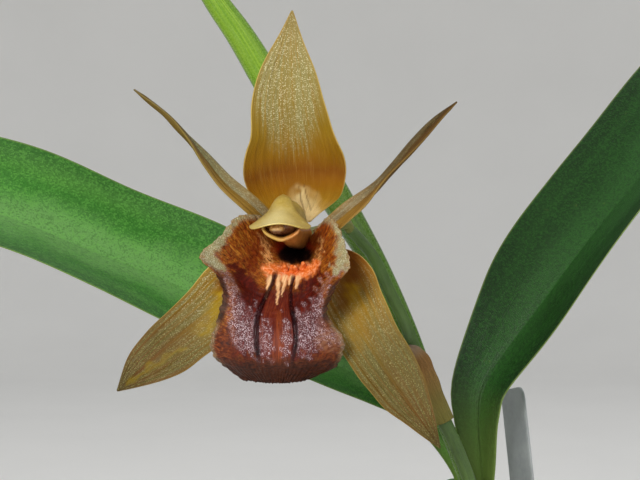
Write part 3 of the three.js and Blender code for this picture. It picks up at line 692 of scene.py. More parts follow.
@dataclass(frozen=True)
class LeafFinish:
    """A satin leaf: parallel veins, fine cells, a paler underside and margin, a drier tip, a painted sheen along the
    middle and painted shade towards the margins.
    """

    name: str
    deep: str = "1B4410"
    fresh: str = "2F6A1C"
    pale: str = "58943A"
    under: str = "6E924C"
    dry: str = "8A6A30"
    # veil is the colour of the painted sheen along the leaf's middle, and the amount after it says how much of it
    # shows
    veil: str = "6E9A58"
    sheen_amount: float = 0.35
    veins: float = 26
    gloss: float = 0.42

    def material(self) -> bpy.types.Material:
        """Lays the nodes.

        Returns:
            The material.
        """
        g = Graph(self.name)
        s, a, layer = g.parts(g.place())
        here = g.here()
        fine = g.noise(g.place((1.4, self.veins, 4)), 2.2, 3, 0.6)
        broad = g.noise(g.place((1.6, 1.5, 4)), 1.6, 2, 0.5, 0.3)
        grain, tint = g.cells(here, 2600)
        cloud = g.noise(here, 55, 4, 0.6)
        side = g.math("ABSOLUTE", a)
        shade = g.mean(broad, cloud, 0.75)
        green = g.ramp(shade, [(0.3, self.deep), (0.52, self.fresh), (0.76, self.pale)])
        # Painted sheen: a pale band along the middle of the leaf
        sheen_band, worn = g.stirred(side, cloud, 0.9), g.stirred(s, cloud, 0.12)
        green = g.coats(
            green,
            (g.step(sheen_band, 0.1, 0.6, self.sheen_amount, 0), self.veil),
            # Painted shade: darker towards both margins
            (g.step(side, 0.35, 0.9, 0, 0.8), self.deep),
            (g.step(fine, 0.5, 0.78, 0, 0.08), self.pale),
            (g.step(fine, 0.26, 0.46, 0.12, 0), self.deep),
            (g.step(tint, 0.4, 1.0, 0, 0.35), self.pale),
            (g.step(tint, 0.0, 0.5, 0.4, 0), self.deep),
            (g.step(side, 0.0, 0.03, 0.12, 0), self.pale),
            (g.step(layer, 0.2, 0.8, 0.75, 0), self.under),
            (g.step(side, 0.975, 0.998, 0, 0.35), "8FA055"),
            (g.step(s, 0.0, 0.14, 0.7, 0), "6F8A3C"),
            (g.step(worn, 0.965, 1.0, 0, 0.85), self.dry),
            (g.step(g.noise(here, 240, 2, 0.6), 0.71, 0.79, 0, 0.3), "5E6B2C"),
        )
        rough = g.plus(g.times(fine, 0.14), self.gloss - 0.04)
        relief = g.bump(grain, 0.05, g.bump(fine, 0.12))
        return g.finish(green, rough, relief, Specular_IOR_Level=0.2)


@dataclass(frozen=True)
class StemFinish:
    """A green stalk with fine lengthwise lines and small pores."""

    name: str
    dark: str = "27401A"
    light: str = "5A7A32"
    blush: str = "6A5A2C"
    gloss: float = 0.42
    browned: float = 0.0

    def material(self) -> bpy.types.Material:
        """Lays the nodes.

        Returns:
            The material.
        """
        g = Graph(self.name)
        here = g.here()
        lines = g.noise(g.place((5, 7, 7)), 2.2, 3, 0.6)
        cloud = g.noise(here, 160, 4, 0.6)
        tone = g.ramp(g.mean(lines, cloud, 0.6), [(0.3, self.dark), (0.7, self.light)])
        grain, tint = g.cells(here, 3000)
        tone = g.coats(
            tone,
            (g.step(g.noise(here, 70, 2), 0.55, 0.75, 0, 0.6), self.blush),
            (g.times(tint, 0.2), self.light),
            (g.mark("flush"), g.ramp(cloud, [(0.3, "A85A24"), (0.6, "D89A60")])),
            (g.times(g.step(g.parts(g.place())[0], 0.0, 0.3, 1, 0), self.browned), "5A4426"),
        )
        relief = g.bump(grain, 0.04, g.bump(lines, 0.2))
        return g.finish(tone, self.gloss, relief)


@dataclass(frozen=True)
class RolledLeafFinish:
    """A young leaf, lime green and glossy, with one seam line, wet-looking cells and painted shade darkening its lower
    part.
    """

    name: str = "young_leaf_lime"
    deep: str = "44760A"
    lime: str = "688E10"
    pale: str = "90B034"

    def material(self) -> bpy.types.Material:
        """Lays the nodes.

        Returns:
            The material.
        """
        g = Graph(self.name)
        here = g.here()
        s, _, _ = g.parts(g.place())
        lines = g.noise(g.place((4, 5, 5)), 2.5, 3, 0.55)
        grain, tint = g.cells(here, 3200)
        tone = g.ramp(lines, [(0.25, self.deep), (0.55, self.lime), (0.85, self.pale)])
        tone = g.coats(
            tone,
            # Painted shade: darker green low down on the leaf
            (g.step(s, 0.35, 0.72, 0.85, 0), g.ramp(lines, [(0.3, "2A4A12"), (0.7, "4F7A22")])),
            (g.mark("seam"), "4E7410"),
            (g.times(tint, 0.12), self.pale),
        )
        relief = g.bump(grain, 0.05, g.bump(lines, 0.12))
        return g.finish(tone, g.plus(g.times(tint, 0.14), 0.2), relief)


@dataclass(frozen=True)
class BulbFinish:
    """A pseudobulb: green skin with fine upright wrinkles, a browned foot and pale streaks."""

    name: str
    skin: str = "56752A"
    dark: str = "2F4A1A"
    ripe: str = "9AA04A"
    foot: str = "6B5230"
    age: float = 0.3

    def material(self) -> bpy.types.Material:
        """Lays the nodes.

        Returns:
            The material.
        """
        g = Graph(self.name)
        here = g.here()
        s, _, _ = g.parts(g.place())
        lines = g.noise(g.place((2.5, 9, 9)), 2.2, 4, 0.6)
        cloud = g.noise(here, 90, 4, 0.6)
        tone = g.ramp(lines, [(0.28, self.dark), (0.5, self.skin), (0.78, self.ripe)])
        brown = g.plus(s, g.times(lines, 0.25))
        specks = g.step(g.noise(here, 600, 2), 0.66, 0.74, 0, self.age + 0.2)
        tone = g.coats(
            tone,
            (g.step(cloud, 0.45, 0.75, 0, self.age + 0.25), self.ripe),
            (g.step(brown, 0.16, 0.4, 0.9, 0), self.foot),
            (g.step(s, 0.93, 1.0, 0, 0.7), "7A6238"),
            (specks, "4A3A22"),
        )
        relief = g.bump(g.noise(here, 900, 2), 0.05, g.bump(lines, 0.5))
        rough = g.step(brown, 0.1, 0.45, 0.8, 0.36)
        return g.finish(tone, rough, relief)


@dataclass(frozen=True)
class FibreFinish:
    """Dry papery scales and bracts: parallel fibres, torn light ends and blotches."""

    name: str
    base: str = "8F6C3C"
    light: str = "C6A873"
    dark: str = "4A3018"
    green: float = 0.0

    def material(self) -> bpy.types.Material:
        """Lays the nodes.

        Returns:
            The material.
        """
        g = Graph(self.name)
        here = g.here()
        s, _, _ = g.parts(g.place())
        fibres = g.noise(g.place((2.2, 34, 3)), 2, 4, 0.7)
        blotch = g.noise(here, 130, 3, 0.6, 0.5)
        tone = g.ramp(fibres, [(0.34, self.dark), (0.5, self.base), (0.66, self.light)])
        tone = g.coats(
            tone,
            (g.step(blotch, 0.5, 0.75, 0, 0.55), self.dark),
            (g.step(s, 0.0, 0.75, self.green, 0), "7C7A30"),
            (g.step(s, 0.78, 1.0, 0, 0.5), "9A8F80"),
        )
        relief = g.bump(blotch, 0.25, g.bump(fibres, 0.3))
        return g.finish(tone, g.step(fibres, 0.3, 0.7, 0.75, 0.5), relief)


@dataclass(frozen=True)
class RhizomeFinish:
    """The creeping stem and its roots: olive brown with ring scars and pale dry skin."""

    name: str = "rhizome_brown"

    def material(self) -> bpy.types.Material:
        """Lays the nodes.

        Returns:
            The material.
        """
        g = Graph(self.name)
        here = g.here()
        cloud = g.noise(here, 220, 4, 0.65)
        rings = g.noise(g.place((70, 0.7, 0.7)), 1, 2)
        tone = g.ramp(cloud, [(0.3, "3A2A17"), (0.5, "6A5430"), (0.72, "8E7A4A")])
        tone = g.coats(
            tone,
            (g.step(rings, 0.5, 0.7, 0, 0.6), "A8946A"),
            (g.mark("root"), g.ramp(cloud, [(0.3, "8C8470"), (0.7, "C9C2AE")])),
        )
        relief = g.bump(cloud, 0.35, g.bump(rings, 0.3))
        return g.finish(tone, 0.78, relief)


@dataclass(frozen=True)
class BarkFinish:
    """Chips of pine bark: layered red-brown with grey weathered faces and dark cracks."""

    name: str = "pine_bark"

    def material(self) -> bpy.types.Material:
        """Lays the nodes.

        Returns:
            The material.
        """
        g = Graph(self.name)
        here = g.here()
        tint = g.mark("tint")
        layers = g.noise(g.place((1.2, 1.2, 9)), 2.2, 4, 0.65, 0.6)
        grit = g.noise(here, 700, 4, 0.7)
        tone = g.ramp(layers, [(0.28, "24130B"), (0.48, "4B2A18"), (0.66, "7A4A2C"), (0.85, "9A6B45")])
        tone = g.coats(
            tone,
            (g.times(tint, 0.6), "6B5B4C"),
            (g.step(grit, 0.35, 0.5, 0.6, 0), "1C0F09"),
            (g.step(grit, 0.62, 0.75, 0, 0.35), "A5896A"),
        )
        relief = g.bump(grit, 0.5, g.bump(layers, 0.9))
        return g.finish(tone, 0.88, relief)


@dataclass(frozen=True)
class ClayFinish:
    """A plain clay pot: mottled body, fine wheel lines, pale salts low down and a darker damp foot."""

    name: str = "terracotta"
    height: float = 112
    wheel_lines: float = 700

    def material(self) -> bpy.types.Material:
        """Lays the nodes.

        Returns:
            The material.
        """
        g = Graph(self.name)
        here = g.here()
        _, _, z = g.parts(here)
        high = g.math("DIVIDE", z, self.height * MM)
        cloud = g.noise(here, 26, 5, 0.62)
        grit = g.noise(here, 1400, 2, 0.6)
        tone = g.ramp(cloud, [(0.3, "8F4B2E"), (0.5, "B2653F"), (0.7, "C67F55")])
        salt = g.noise(here, 60, 5, 0.7, 0.8)
        low = g.step(g.plus(high, g.times(cloud, 0.35)), 0.25, 0.6, 1, 0)
        tone = g.coats(
            tone,
            (g.times(g.step(salt, 0.48, 0.68, 0, 0.6), low), "D8C2AC"),
            (g.times(g.step(salt, 0.35, 0.5, 0.45, 0), low), "5C4A34"),
            (g.step(grit, 0.6, 0.72, 0, 0.4), "E0B08C"),
            (g.step(grit, 0.28, 0.38, 0.35, 0), "5E2E1C"),
            (g.mark("inside"), "6B4632"),
        )
        stretched = g.add("VectorMath", {0: here, 1: (1, 1, self.wheel_lines)}, operation="MULTIPLY").outputs[0]
        lines = g.noise(stretched, 1.5, 3)
        relief = g.bump(grit, 0.12, g.bump(lines, 0.16))
        return g.finish(tone, g.step(salt, 0.4, 0.7, 0.9, 0.78), relief)


@dataclass(frozen=True)
class LabelFinish:
    """A blank grey plastic label, scuffed, with soil stains near its foot."""

    name: str = "label_grey"

    def material(self) -> bpy.types.Material:
        """Lays the nodes.

        Returns:
            The material.
        """
        g = Graph(self.name)
        here = g.here()
        s, _, _ = g.parts(g.place())
        cloud = g.noise(here, 110, 4, 0.65)
        scuffs = g.noise(g.place((3, 30, 2)), 2.5, 3, 0.7)
        tone = g.ramp(cloud, [(0.3, "7F8588"), (0.7, "A3A8AA")])
        tone = g.blend(g.step(scuffs, 0.62, 0.7, 0, 0.4), tone, "C4C8C9")
        soil = g.step(g.plus(s, g.times(cloud, 0.3)), 0.25, 0.6, 0.8, 0)
        tone = g.blend(soil, tone, "4A3E30")
        return g.finish(tone, g.step(cloud, 0.3, 0.7, 0.42, 0.6), g.bump(scuffs, 0.06))


@dataclass(frozen=True)
class TepalFinish:
    """A sepal or petal: streaked amber skin under a frost of bright cells, which is partly the cells' own pale colour
    and partly a painted sheen with painted glints.

    body runs from the foot (0) to the tip (1), and frost gives the shares of the length between which the frost fades
    in. The tint that is multiplied in over a later span of the length is painted shade.
    """

    name: str
    body: tuple[tuple[float, str], ...]
    frost: tuple[float, float] = (0.1, 0.3)
    amount: float = 0.8
    veil: str = "857F50"
    glint: str = "E6E2BE"
    gaps: float = 0.15
    back: str = "9A7C34"
    rim: str = "D8BE70"
    amber: str = "7A4408"
    bright: str = "D0A012"
    upper: float = 0.0
    streaks: float = 0.4
    taper: float = 0.0
    shade_span: tuple[float, float] = (0.3, 0.7)
    shade_tint: str = "FFFFFF"

    def material(self) -> bpy.types.Material:
        """Lays the nodes.

        Returns:
            The material.
        """
        g = Graph(self.name)
        s, a, layer = g.parts(g.place())
        here = g.here()
        streak = g.noise(g.place((1.6, 13, 5)), 2.1, 4, 0.62)
        thread = g.noise(g.place((2.5, 60, 5)), 2.0, 2, 0.6)
        cloud = g.noise(here, 190, 4, 0.6)
        shifted = g.stirred(s, cloud, 0.07)
        tone = g.ramp(shifted, self.body)
        tone = g.coats(
            tone,
            # amber marks a painted shadow beside the lip on the lateral sepals
            (g.mark("amber"), self.amber),
            (g.mark("bright"), self.bright),
            (g.step(streak, 0.35, 0.5, self.streaks, 0), "7A4C10"),
            (g.step(thread, 0.55, 0.75, 0, 0.22), "DDBE6A"),
        )
        start = g.stirred(s, streak, 0.34)
        start = g.minus(start, g.times(g.times(a, a), self.taper))
        frosted = g.times(g.step(start, *self.frost), g.step(layer, 0.2, 0.8))
        frosted = g.times(frosted, g.step(g.math("ABSOLUTE", a), 0.86, 0.99, 1, 0.25))
        bare = g.math("MAXIMUM", g.mark("amber"), g.times(g.mark("bright"), 0.6))
        frosted = g.times(frosted, g.minus(1.0, bare))
        # On a petal the frost, with its painted sheen, keeps to the half that faces the light
        if self.upper:
            frosted = g.times(frosted, g.step(g.times(a, self.upper), -0.12, 0.1))
        grain, tint = g.cells(here, 3900)
        dots = g.times(g.step(grain, 0.1, 0.6, 1, 0), g.step(tint, 0.3, 0.85, 0, 0.8))
        bands = g.noise(g.place((0.9, 5.5, 5)), 1.9, 2, 0.5)
        frosted = g.times(frosted, g.step(bands, 0.36, 0.5, self.gaps, 1))
        veil = g.times(frosted, g.step(streak, 0.38, 0.58, 0.15, self.amount))
        # The veil is partly the frost's pale colour and partly a painted sheen, and the bright dots are painted glints
        tone = g.coats(
            tone,
            (veil, self.veil),
            (g.times(frosted, dots), self.glint),
            (g.times(g.mark("line"), 0.75), "6A4A1C"),
            (g.step(layer, 0.2, 0.8, 0.7, 0), self.back),
            (g.step(g.math("ABSOLUTE", a), 0.975, 0.998, 0, 0.5), self.rim),
        )
        # Painted shade: the tone is darkened by a tint towards the tip
        tone = g.blend(g.step(s, *self.shade_span), tone, self.shade_tint, "MULTIPLY")
        relief = g.bump(streak, 0.14)
        relief = g.bump(grain, 0.08, relief)
        rough = g.minus(0.46, g.times(g.times(frosted, tint), 0.22))
        return g.finish(tone, rough, relief, Specular_IOR_Level=0.2, Subsurface_Weight=0.1, Subsurface_Scale=0.001,
                        Subsurface_Radius=(1.0, 0.6, 0.25))


@dataclass(frozen=True)
class LipFinish:
    """The lip: netted orange-brown lobes, maroon hollows, a painted lilac sheen and a pale frost that is partly
    painted sheen, both with painted glints, a salmon ridge, dark keels, and painted shade at the tip, the waist and
    deep in the throat.
    """

    name: str = "lip_painted"

    def material(self) -> bpy.types.Material:
        """Lays the nodes.

        Returns:
            The material.
        """
        g = Graph(self.name)
        _, _, layer = g.parts(g.place())
        here = g.here()
        across = g.noise(g.place((78, 6, 3)), 1.5, 4, 0.7, 1.6)
        down = g.noise(g.place((5, 40, 3)), 1.6, 4, 0.65, 0.5)
        net = g.noise(here, 1000, 3, 0.6, 0.8)
        feather = g.mean(across, net, 0.65)
        grain, tint = g.cells(here, 3900)
        dome = g.step(grain, 0.1, 0.6, 1, 0)
        tone = g.ramp(feather, [(0.36, "340E03"), (0.46, "682808"), (0.55, "8C420B"), (0.66, "B4802E")])
        hairs = g.noise(g.place((130, 9, 3)), 1.5, 3, 0.6, 1.8)
        rust = g.ramp(feather, [(0.36, "280B04"), (0.48, "522008"), (0.6, "763A14"), (0.72, "94663A")])
        russet = g.ramp(feather, [(0.38, "480F02"), (0.5, "6C2404"), (0.64, "8E4A12")])
        wine = g.ramp(g.mean(down, net, 0.6), [(0.32, "220402"), (0.5, "440B03"), (0.68, "681A06")])
        panel = g.ramp(down, [(0.3, "340804"), (0.5, "5A1709"), (0.7, "783619")])
        salmon = g.ramp(net, [(0.3, "BC4E0E"), (0.5, "DE7838"), (0.7, "F2AE86")])
        tone = g.coats(
            tone,
            (g.step(hairs, 0.5, 0.64, 0, 0.55), "B8862E"),
            (g.mark("rust"), rust),
            (g.times(g.mark("russet"), 0.85), russet),
            (g.mark("wine"), wine),
            (g.mark("panel"), panel),
            (g.times(g.mark("ember"), g.step(down, 0.36, 0.62, 0.15, 0.6)), "8A4014"),
            (g.times(g.mark("peach"), g.step(feather, 0.42, 0.58)), "D9A060"),
            (g.mark("salmon"), salmon),
            (g.mark("cream"), g.ramp(down, [(0.3, "C47848"), (0.6, "E6BE8C")])),
        )
        # The lilac bands are a painted sheen, and their bright grains are painted glints
        lilac = g.mark("lilac")
        patchy = g.step(g.noise(here, 420, 3, 0.6), 0.34, 0.54, 0.3, 1)
        lilac = g.times(lilac, patchy)
        fine, fleck = g.cells(here, 5200)
        lilac_glints = g.times(lilac, g.step(fleck, 0.2, 0.75))
        lilac_glints = g.times(lilac_glints, g.step(fine, 0.15, 0.7, 1, 0))
        # The frost is partly a painted sheen, and its bright dots are painted glints
        frost = g.mark("frost")
        frost_glints = g.times(g.times(frost, g.step(tint, 0.1, 0.5)), dome)
        tone = g.coats(
            tone,
            (g.times(lilac, 0.4), "5E3238"),
            (lilac_glints, "D8C6CC"),
            (g.times(frost, 0.8), "9A9A70"),
            (frost_glints, "E4E0C4"),
            (g.times(g.mark("fold"), 0.6), "8C6044"),
            # Painted shade: the tip's margin and the margins at the waist are darkened
            (g.mark("shade"), g.ramp(across, [(0.4, "180803"), (0.65, "3E1A0A")])),
            (g.mark("maw"), "8A2406"),
            # The throat's near-black is partly its dark maroon and partly painted shade deep in the tube
            (g.mark("throat"), "0E0304"),
            (g.mark("keel"), g.blend(g.step(net, 0.4, 0.6), "150205", "2C080C")),
            (g.step(layer, 0.2, 0.8, 0.6, 0), "8A5A2E"),
        )
        grainy = g.capped_sum(lilac, frost)
        relief = g.bump(across, 0.08, g.bump(net, 0.06))
        relief = g.bump(g.times(dome, g.plus(grainy, 0.1)), 0.1, relief)
        gloss = g.plus(g.times(grainy, 0.08), g.times(g.mark("salmon"), 0.28))
        gloss = g.plus(gloss, g.times(g.mark("keel"), 0.34))
        rough = g.minus(0.48, gloss)
        return g.finish(tone, rough, relief, Specular_IOR_Level=0.2)


@dataclass(frozen=True)
class ColumnFinish:
    """The waxy cream column with its brown cavity, a painted highlight low on the hood's front and painted shade in
    the cavity's middle.
    """

    name: str = "column_cream"

    def material(self) -> bpy.types.Material:
        """Lays the nodes.

        Returns:
            The material.
        """
        g = Graph(self.name)
        here = g.here()
        cloud = g.noise(here, 260, 4, 0.6)
        grain, tint = g.cells(here, 3400)
        tone = g.ramp(cloud, [(0.3, "967A2C"), (0.55, "AE9440"), (0.75, "C6B068")])
        tone = g.coats(
            tone,
            # pale is a painted highlight low on the hood's front
            (g.mark("pale"), "DCCE92"),
            (g.mark("peach"), g.ramp(cloud, [(0.3, "984E08"), (0.65, "C07C2C")])),
            (g.mark("amber"), g.ramp(cloud, [(0.3, "8E4814"), (0.65, "BC7E38")])),
            # brown is darkened by painted shade in the cavity's middle
            (g.mark("brown"), g.ramp(cloud, [(0.3, "3A1206"), (0.7, "7A3E18")])),
            (g.times(tint, 0.1), "F4E8B8"),
        )
        relief = g.bump(grain, 0.03, g.bump(cloud, 0.12))
        return g.finish(tone, 0.42, relief, Specular_IOR_Level=0.3, Subsurface_Weight=0.12,
                        Subsurface_Scale=0.001, Subsurface_Radius=(1.0, 0.7, 0.35))


@dataclass(frozen=True)
class AntherFinish:
    """The small tan anther cap, darker round its foot as painted shade that leaves its top lit, where the foot's edge
    lies between two heights in metres.
    """

    name: str = "anther_tan"
    foot: tuple[float, float] = (0.2156, 0.2164)

    def material(self) -> bpy.types.Material:
        """Lays the nodes.

        Returns:
            The material.
        """
        g = Graph(self.name)
        here = g.here()
        cloud = g.noise(here, 700, 3, 0.6)
        _, _, z = g.parts(here)
        tone = g.ramp(cloud, [(0.3, "A87234"), (0.55, "CFA464"), (0.75, "F0DEB0")])
        # Painted shade: the cap is darkened below a height, which leaves its top lighter
        tone = g.blend(g.step(z, *self.foot, 0.93, 0), tone, "4A1A0A")
        return g.finish(tone, 0.42, g.bump(cloud, 0.15))


@dataclass(frozen=True)
class FloorFinish:
    """The plain pale studio floor."""

    name: str = "studio_floor"
    light: str = "F0EFEC"
    dark: str = "EAE9E6"

    def material(self) -> bpy.types.Material:
        """Lays the nodes.

        Returns:
            The material.
        """
        g = Graph(self.name)
        cloud = g.noise(g.here(), 6, 4, 0.5)
        tone = g.blend(cloud, self.dark, self.light)
        return g.finish(tone, 0.85, g.bump(g.noise(g.here(), 300, 2), 0.05))


@dataclass
class Pot:
    """The clay pot, a turned profile with three drain holes."""

    height: float = 112
    foot: float = 47
    rim: float = 66
    wall: float = 5
    floor: float = 7
    band: float = 17
    band_out: float = 3.5
    bevel: float = 1.5
    sides: int = 180
    drain_radius: float = 4.5
    drain_from: float = 24
    drains: int = 3
    drain_cut: tuple[float, float] = (-9, 20)
    throwing_rings: float = 0.14
    out_of_round: float = 0.12
    sample: float = 0.9
    soften: int = 5

    def outer(self, z: float) -> float:
        """The outside radius of the wall below the band: it grows evenly with height."""
        return self.foot + (self.rim - self.band_out - self.foot) / self.height * z

    def profile(self) -> Array:
        """The turned outline, resampled and then averaged over a few samples, which rounds its corners.

        Returns:
            The radius and height of each sample.
        """
        h, b, w, under = self.height, self.bevel, self.wall, self.height - self.band
        corners = np.array(
            [
                [0, 0], [self.foot - b, 0], [self.foot, b], [self.outer(under), under],
                [self.outer(under) + self.band_out, under + b], [self.rim, h - b], [self.rim - b, h],
                [self.rim - w + b / 2, h], [self.rim - w - b / 2, h - b],
                [self.outer(self.floor) - w, self.floor + 2 * b], [self.outer(self.floor) - w - 2 * b, self.floor],
                [0, self.floor],
            ]
        )
        far = np.concatenate([[0], np.cumsum(np.linalg.norm(np.diff(corners, axis=0), axis=1))])
        t = np.linspace(0, far[-1], int(far[-1] / self.sample))
        line = np.stack([np.interp(t, far, corners[:, k]) for k in (0, 1)], -1)
        ends = self.soften // 2
        padded = np.concatenate([line[:1]] * ends + [line] + [line[-1:]] * ends)
        return np.mean([padded[k : k + len(line)] for k in range(self.soften)], 0)

    def mesh(self) -> bpy.types.Mesh:
        """The turned body, x = r cos t and y = r sin t, less the drain cylinders.

        The throwing rings lift r by a quick sine of the height, and the wall leans in a little where
        sin(3 t + 1) is below 0.

        Returns:
            The mesh, in metres.
        """
        line = self.profile()
        r, z = line[1:-1, 0], line[1:-1, 1]
        outside = np.arange(len(r)) < np.argmax(z)
        lift = self.throwing_rings * np.sin(z * 1.9 + 0.7 * np.sin(z * 0.31)) * outside * smooth(r, 44, 47)
        angle = np.arange(self.sides) * 2 * np.pi / self.sides
        wobble = self.out_of_round * np.sin(3 * angle + 1) * smooth(z, 10, 60)[:, None]
        ring = (r + lift)[:, None] + np.minimum(wobble, 0)
        points = np.stack([ring * np.cos(angle), ring * np.sin(angle), np.repeat(z[:, None], self.sides, 1)], -1)
        inside = np.concatenate([np.repeat(~outside, self.sides).astype(float), [0, 1]])
        body = capped(points, np.array([0, 0, line[0, 1]]), np.array([0, 0, line[-1, 1]]), {"inside": inside})
        drains = []
        for k in range(self.drains):
            angle_k = 2 * np.pi * k / self.drains + np.pi / 2
            x, y = self.drain_from * np.cos(angle_k), self.drain_from * np.sin(angle_k)
            ends = [[x, y, z] for z in self.drain_cut]
            drains.append(rod(ends, lambda s, t: self.drain_radius + 0 * s, 1, 40, (1, 0, 0)))
        return carved(body, Shape.joined(drains), "pot_body")

    def build(self) -> None:
        """Makes the pot."""
        piece("pot_clay", self.mesh(), ClayFinish(height=self.height).material(), "pot")


def carved(body: Shape, tool: Shape, name: str) -> bpy.types.Mesh:
    """One closed shape less another, as a mesh.

    Args:
        body: What is cut.
        tool: What is taken away.
        name: The mesh's name.

    Returns:
        The cut mesh, in metres.
    """
    scene = bpy.context.scene.collection.objects
    pair = [bpy.data.objects.new(f"{name}_{k}", shape.mesh(f"{name}_{k}")) for k, shape in enumerate((body, tool))]
    for part in pair:
        scene.link(part)
    cut = pair[0].modifiers.new("cut", "BOOLEAN")
    cut.operation, cut.object, cut.solver = "DIFFERENCE", pair[1], "EXACT"
    bpy.context.view_layer.update()
    made = bpy.data.meshes.new_from_object(pair[0].evaluated_get(bpy.context.evaluated_depsgraph_get()))
    for part in pair:
        bpy.data.objects.remove(part)
    made.name = name
    made.polygons.foreach_set("use_smooth", np.ones(len(made.polygons), bool))
    return made


# The rhizome's height, and its bends as seen from above
RHIZOME_Z = 98.5
KNEES = (
    (10, -16), (14, -7), (18.5, 9), (23, 26), (14, 40), (2, 44), (-12, 43), (-22, 37), (-33, 28), (-38, 15), (-42, 3),
)
RHIZOME_LINE = [(x, y, RHIZOME_Z) for x, y in KNEES]


@dataclass(frozen=True)
class Bulb:
    """One pseudobulb: an ovoid ridged body from foot to top, with a flat crown."""

    foot: Point
    top: Point
    wide: float
    crown: float
    ribs: int
    age: float

    def axis(self) -> Array:
        """The unit vector from the foot to the top."""
        return unit(np.subtract(self.top, self.foot).astype(float))

    def seat(self, x: float, y: float, rest: Sequence[Point], straight: float = 8) -> list[list[float]]:
        """A rib that stands on the crown, sets off along the bulb's axis, and goes on through the rest.

        Args:
            x: How far right of the crown's middle it stands.
            y: How far behind the crown's middle it stands.
            rest: The points that follow.
            straight: How far it goes along the axis first.

        Returns:
            The rib's points.
        """
        up = self.axis()
        right = unit(np.array([1.0, 0, 0]) - up[0] * up)
        start = np.asarray(self.top, float) + up * GAP + right * x + np.cross(up, right) * y
        return [list(start), list(start + up * straight), *[list(map(float, p)) for p in rest]]


BULBS = {
    "leading": Bulb((23, 26, 100), (19, 14.2, 146.5), 11, 5.6, 5, 0.1),
    "second": Bulb((2, 44, 100), (2.5, 50, 126), 11.5, 5, 6, 0.3),
    "third": Bulb((-22, 37, 100), (-26, 42, 124), 10.5, 3.8, 6, 0.45),
    "oldest": Bulb((-38, 15, 100), (-42, 15.5, 121), 9.5, 2.6, 7, 0.7),
}
# A pseudobulb's width from foot to top, as a share of its widest
BULB_FORM = (0.42, 0.84, 1, 0.93, 0.72, 0.48)
SHOOT = Bulb((14, -7, 99), (17.4, -0.8, 139), 6.2, 5, 1, 0)


@dataclass
class Rootstock:
    """The creeping rhizome with its roots, and the pseudobulbs that stand on it."""

    radius: float = 4.2
    knot: float = 0.5
    joints: int = 12
    roots: int = 16
    root_radius: float = 0.85
    root_length: tuple[float, float] = (12, 19)
    first_root: int = 40
    sunk: float = 3
    rhizome_grid: tuple[int, int] = (240, 32)
    root_grid: tuple[int, int] = (26, 8)
    bulb_grid: tuple[int, int] = (110, 96)

    def rhizome(self) -> Shape:
        """The rhizome: its radius swells and shrinks as a cosine, with a thin scar ring at each joint.

        Returns:
            The rhizome.
        """

        def radius(s: Array, angle: Array) -> Array:
            """The rhizome's radius.

            Args:
                s: Shares of the length.
                angle: Angles.

            Returns:
                The radius.
            """
            ends = np.minimum(1, 0.55 + 6 * np.minimum(s, 1 - s))
            ring = 0.3 * np.exp(-((np.sin(np.pi * self.joints * s + 0.6)) / 0.16) ** 2)
            lumps = 0.25 * ripple(np.stack([s * 40, np.cos(angle) * 2, np.sin(angle) * 2], -1), 4, 3)
            return (self.radius + self.knot * np.cos(2 * np.pi * self.joints * s) + ring + lumps) * ends

        return rod(RHIZOME_LINE, radius, *self.rhizome_grid)

    def root(self, k: int) -> Shape:
        """One root, which leaves the rhizome's side, runs over the bark and dives into it.

        Args:
            k: Which root it is, counted from the rhizome's tip.

        Returns:
            The root.
        """
        draw = np.random.default_rng(self.first_root + k)
        route = Route(RHIZOME_LINE)
        start = route.at(np.array((k + 0.5) / self.roots))
        heading = np.arctan2(start[1], start[0]) + draw.uniform(-0.9, 0.9)
        if k % 3 == 0:
            heading += np.pi
        way = np.array([np.cos(heading), np.sin(heading), 0])
        across = np.array([-way[1], way[0], 0])
        long = draw.uniform(*self.root_length)
        turn = draw.uniform(-5, 5)
        points = [
            start - [0, 0, 1.5],
            start + way * long * 0.35 + across * turn * 0.2 + [0, 0, 0.2],
            start + way * long * 0.7 + across * turn * 0.7 + [0, 0, -0.2],
            start + way * long + across * turn - [0, 0, 3.5],
            start + way * long * 1.1 + across * turn * 1.3 - [0, 0, 9],
        ]
        body = rod(
            points, lambda s, t: self.root_radius * (1.05 - 0.3 * s) + 0.05 * np.sin(9 * s + 3 * t), *self.root_grid
        )
        body.marks["root"] = smooth(body.marks["place"][:, 0], 0.0, 0.25)
        return body

    def bulb(self, bulb: Bulb) -> Shape:
        """A pseudobulb: wide * form(s) times its ribs, 1 + 0.07 sin(pi s) cos(ribs angle), and finer wrinkles.

        Args:
            bulb: Its sizes.

        Returns:
            The solid.
        """
        low = np.asarray(bulb.foot, float) - bulb.axis() * self.sunk

        def radius(s: Array, angle: Array) -> Array:
            """The pseudobulb's radius, no less than its crown's, with a scar ring at the top.

            Args:
                s: Shares of the length.
                angle: Angles.

            Returns:
                The radius.
            """
            ridge = 1 + 0.07 * np.sin(np.pi * s) * np.cos(bulb.ribs * angle)
            around = np.stack([s * 1.2, np.cos(angle), np.sin(angle)], -1)
            fine = 0.012 * ripple(around * [1, 7, 7], 2.6, bulb.ribs) * np.sin(np.pi * s)
            furrow = 0.02 * bulb.age * ripple(around * [2, 14, 14], 3, 5 + bulb.ribs)
            body = bulb.wide * spline(BULB_FORM, s) * (ridge + fine + furrow)
            scar = 0.35 * bell(s, 0.985, 0.012)
            return np.maximum(body, bulb.crown * np.minimum(1, 2 * s)) * (1 - 0.02 * (s > 0.99)) - scar

        return rod([low, bulb.top], radius, *self.bulb_grid, (1, 0, 0), dome=FLAT_DOME)

    def build(self) -> None:
        """Makes the rhizome and the pseudobulbs."""
        roots = [self.root(k) for k in range(self.roots)]
        piece("rhizome_with_roots", Shape.joined([self.rhizome(), *roots]), RhizomeFinish().material(),
              "rhizome")
        for name, bulb in BULBS.items():
            skin = BulbFinish(f"pseudobulb_skin_{name}", age=bulb.age)
            piece(f"bulb_{name}", self.bulb(bulb), skin.material(), f"pseudobulb_{name}")


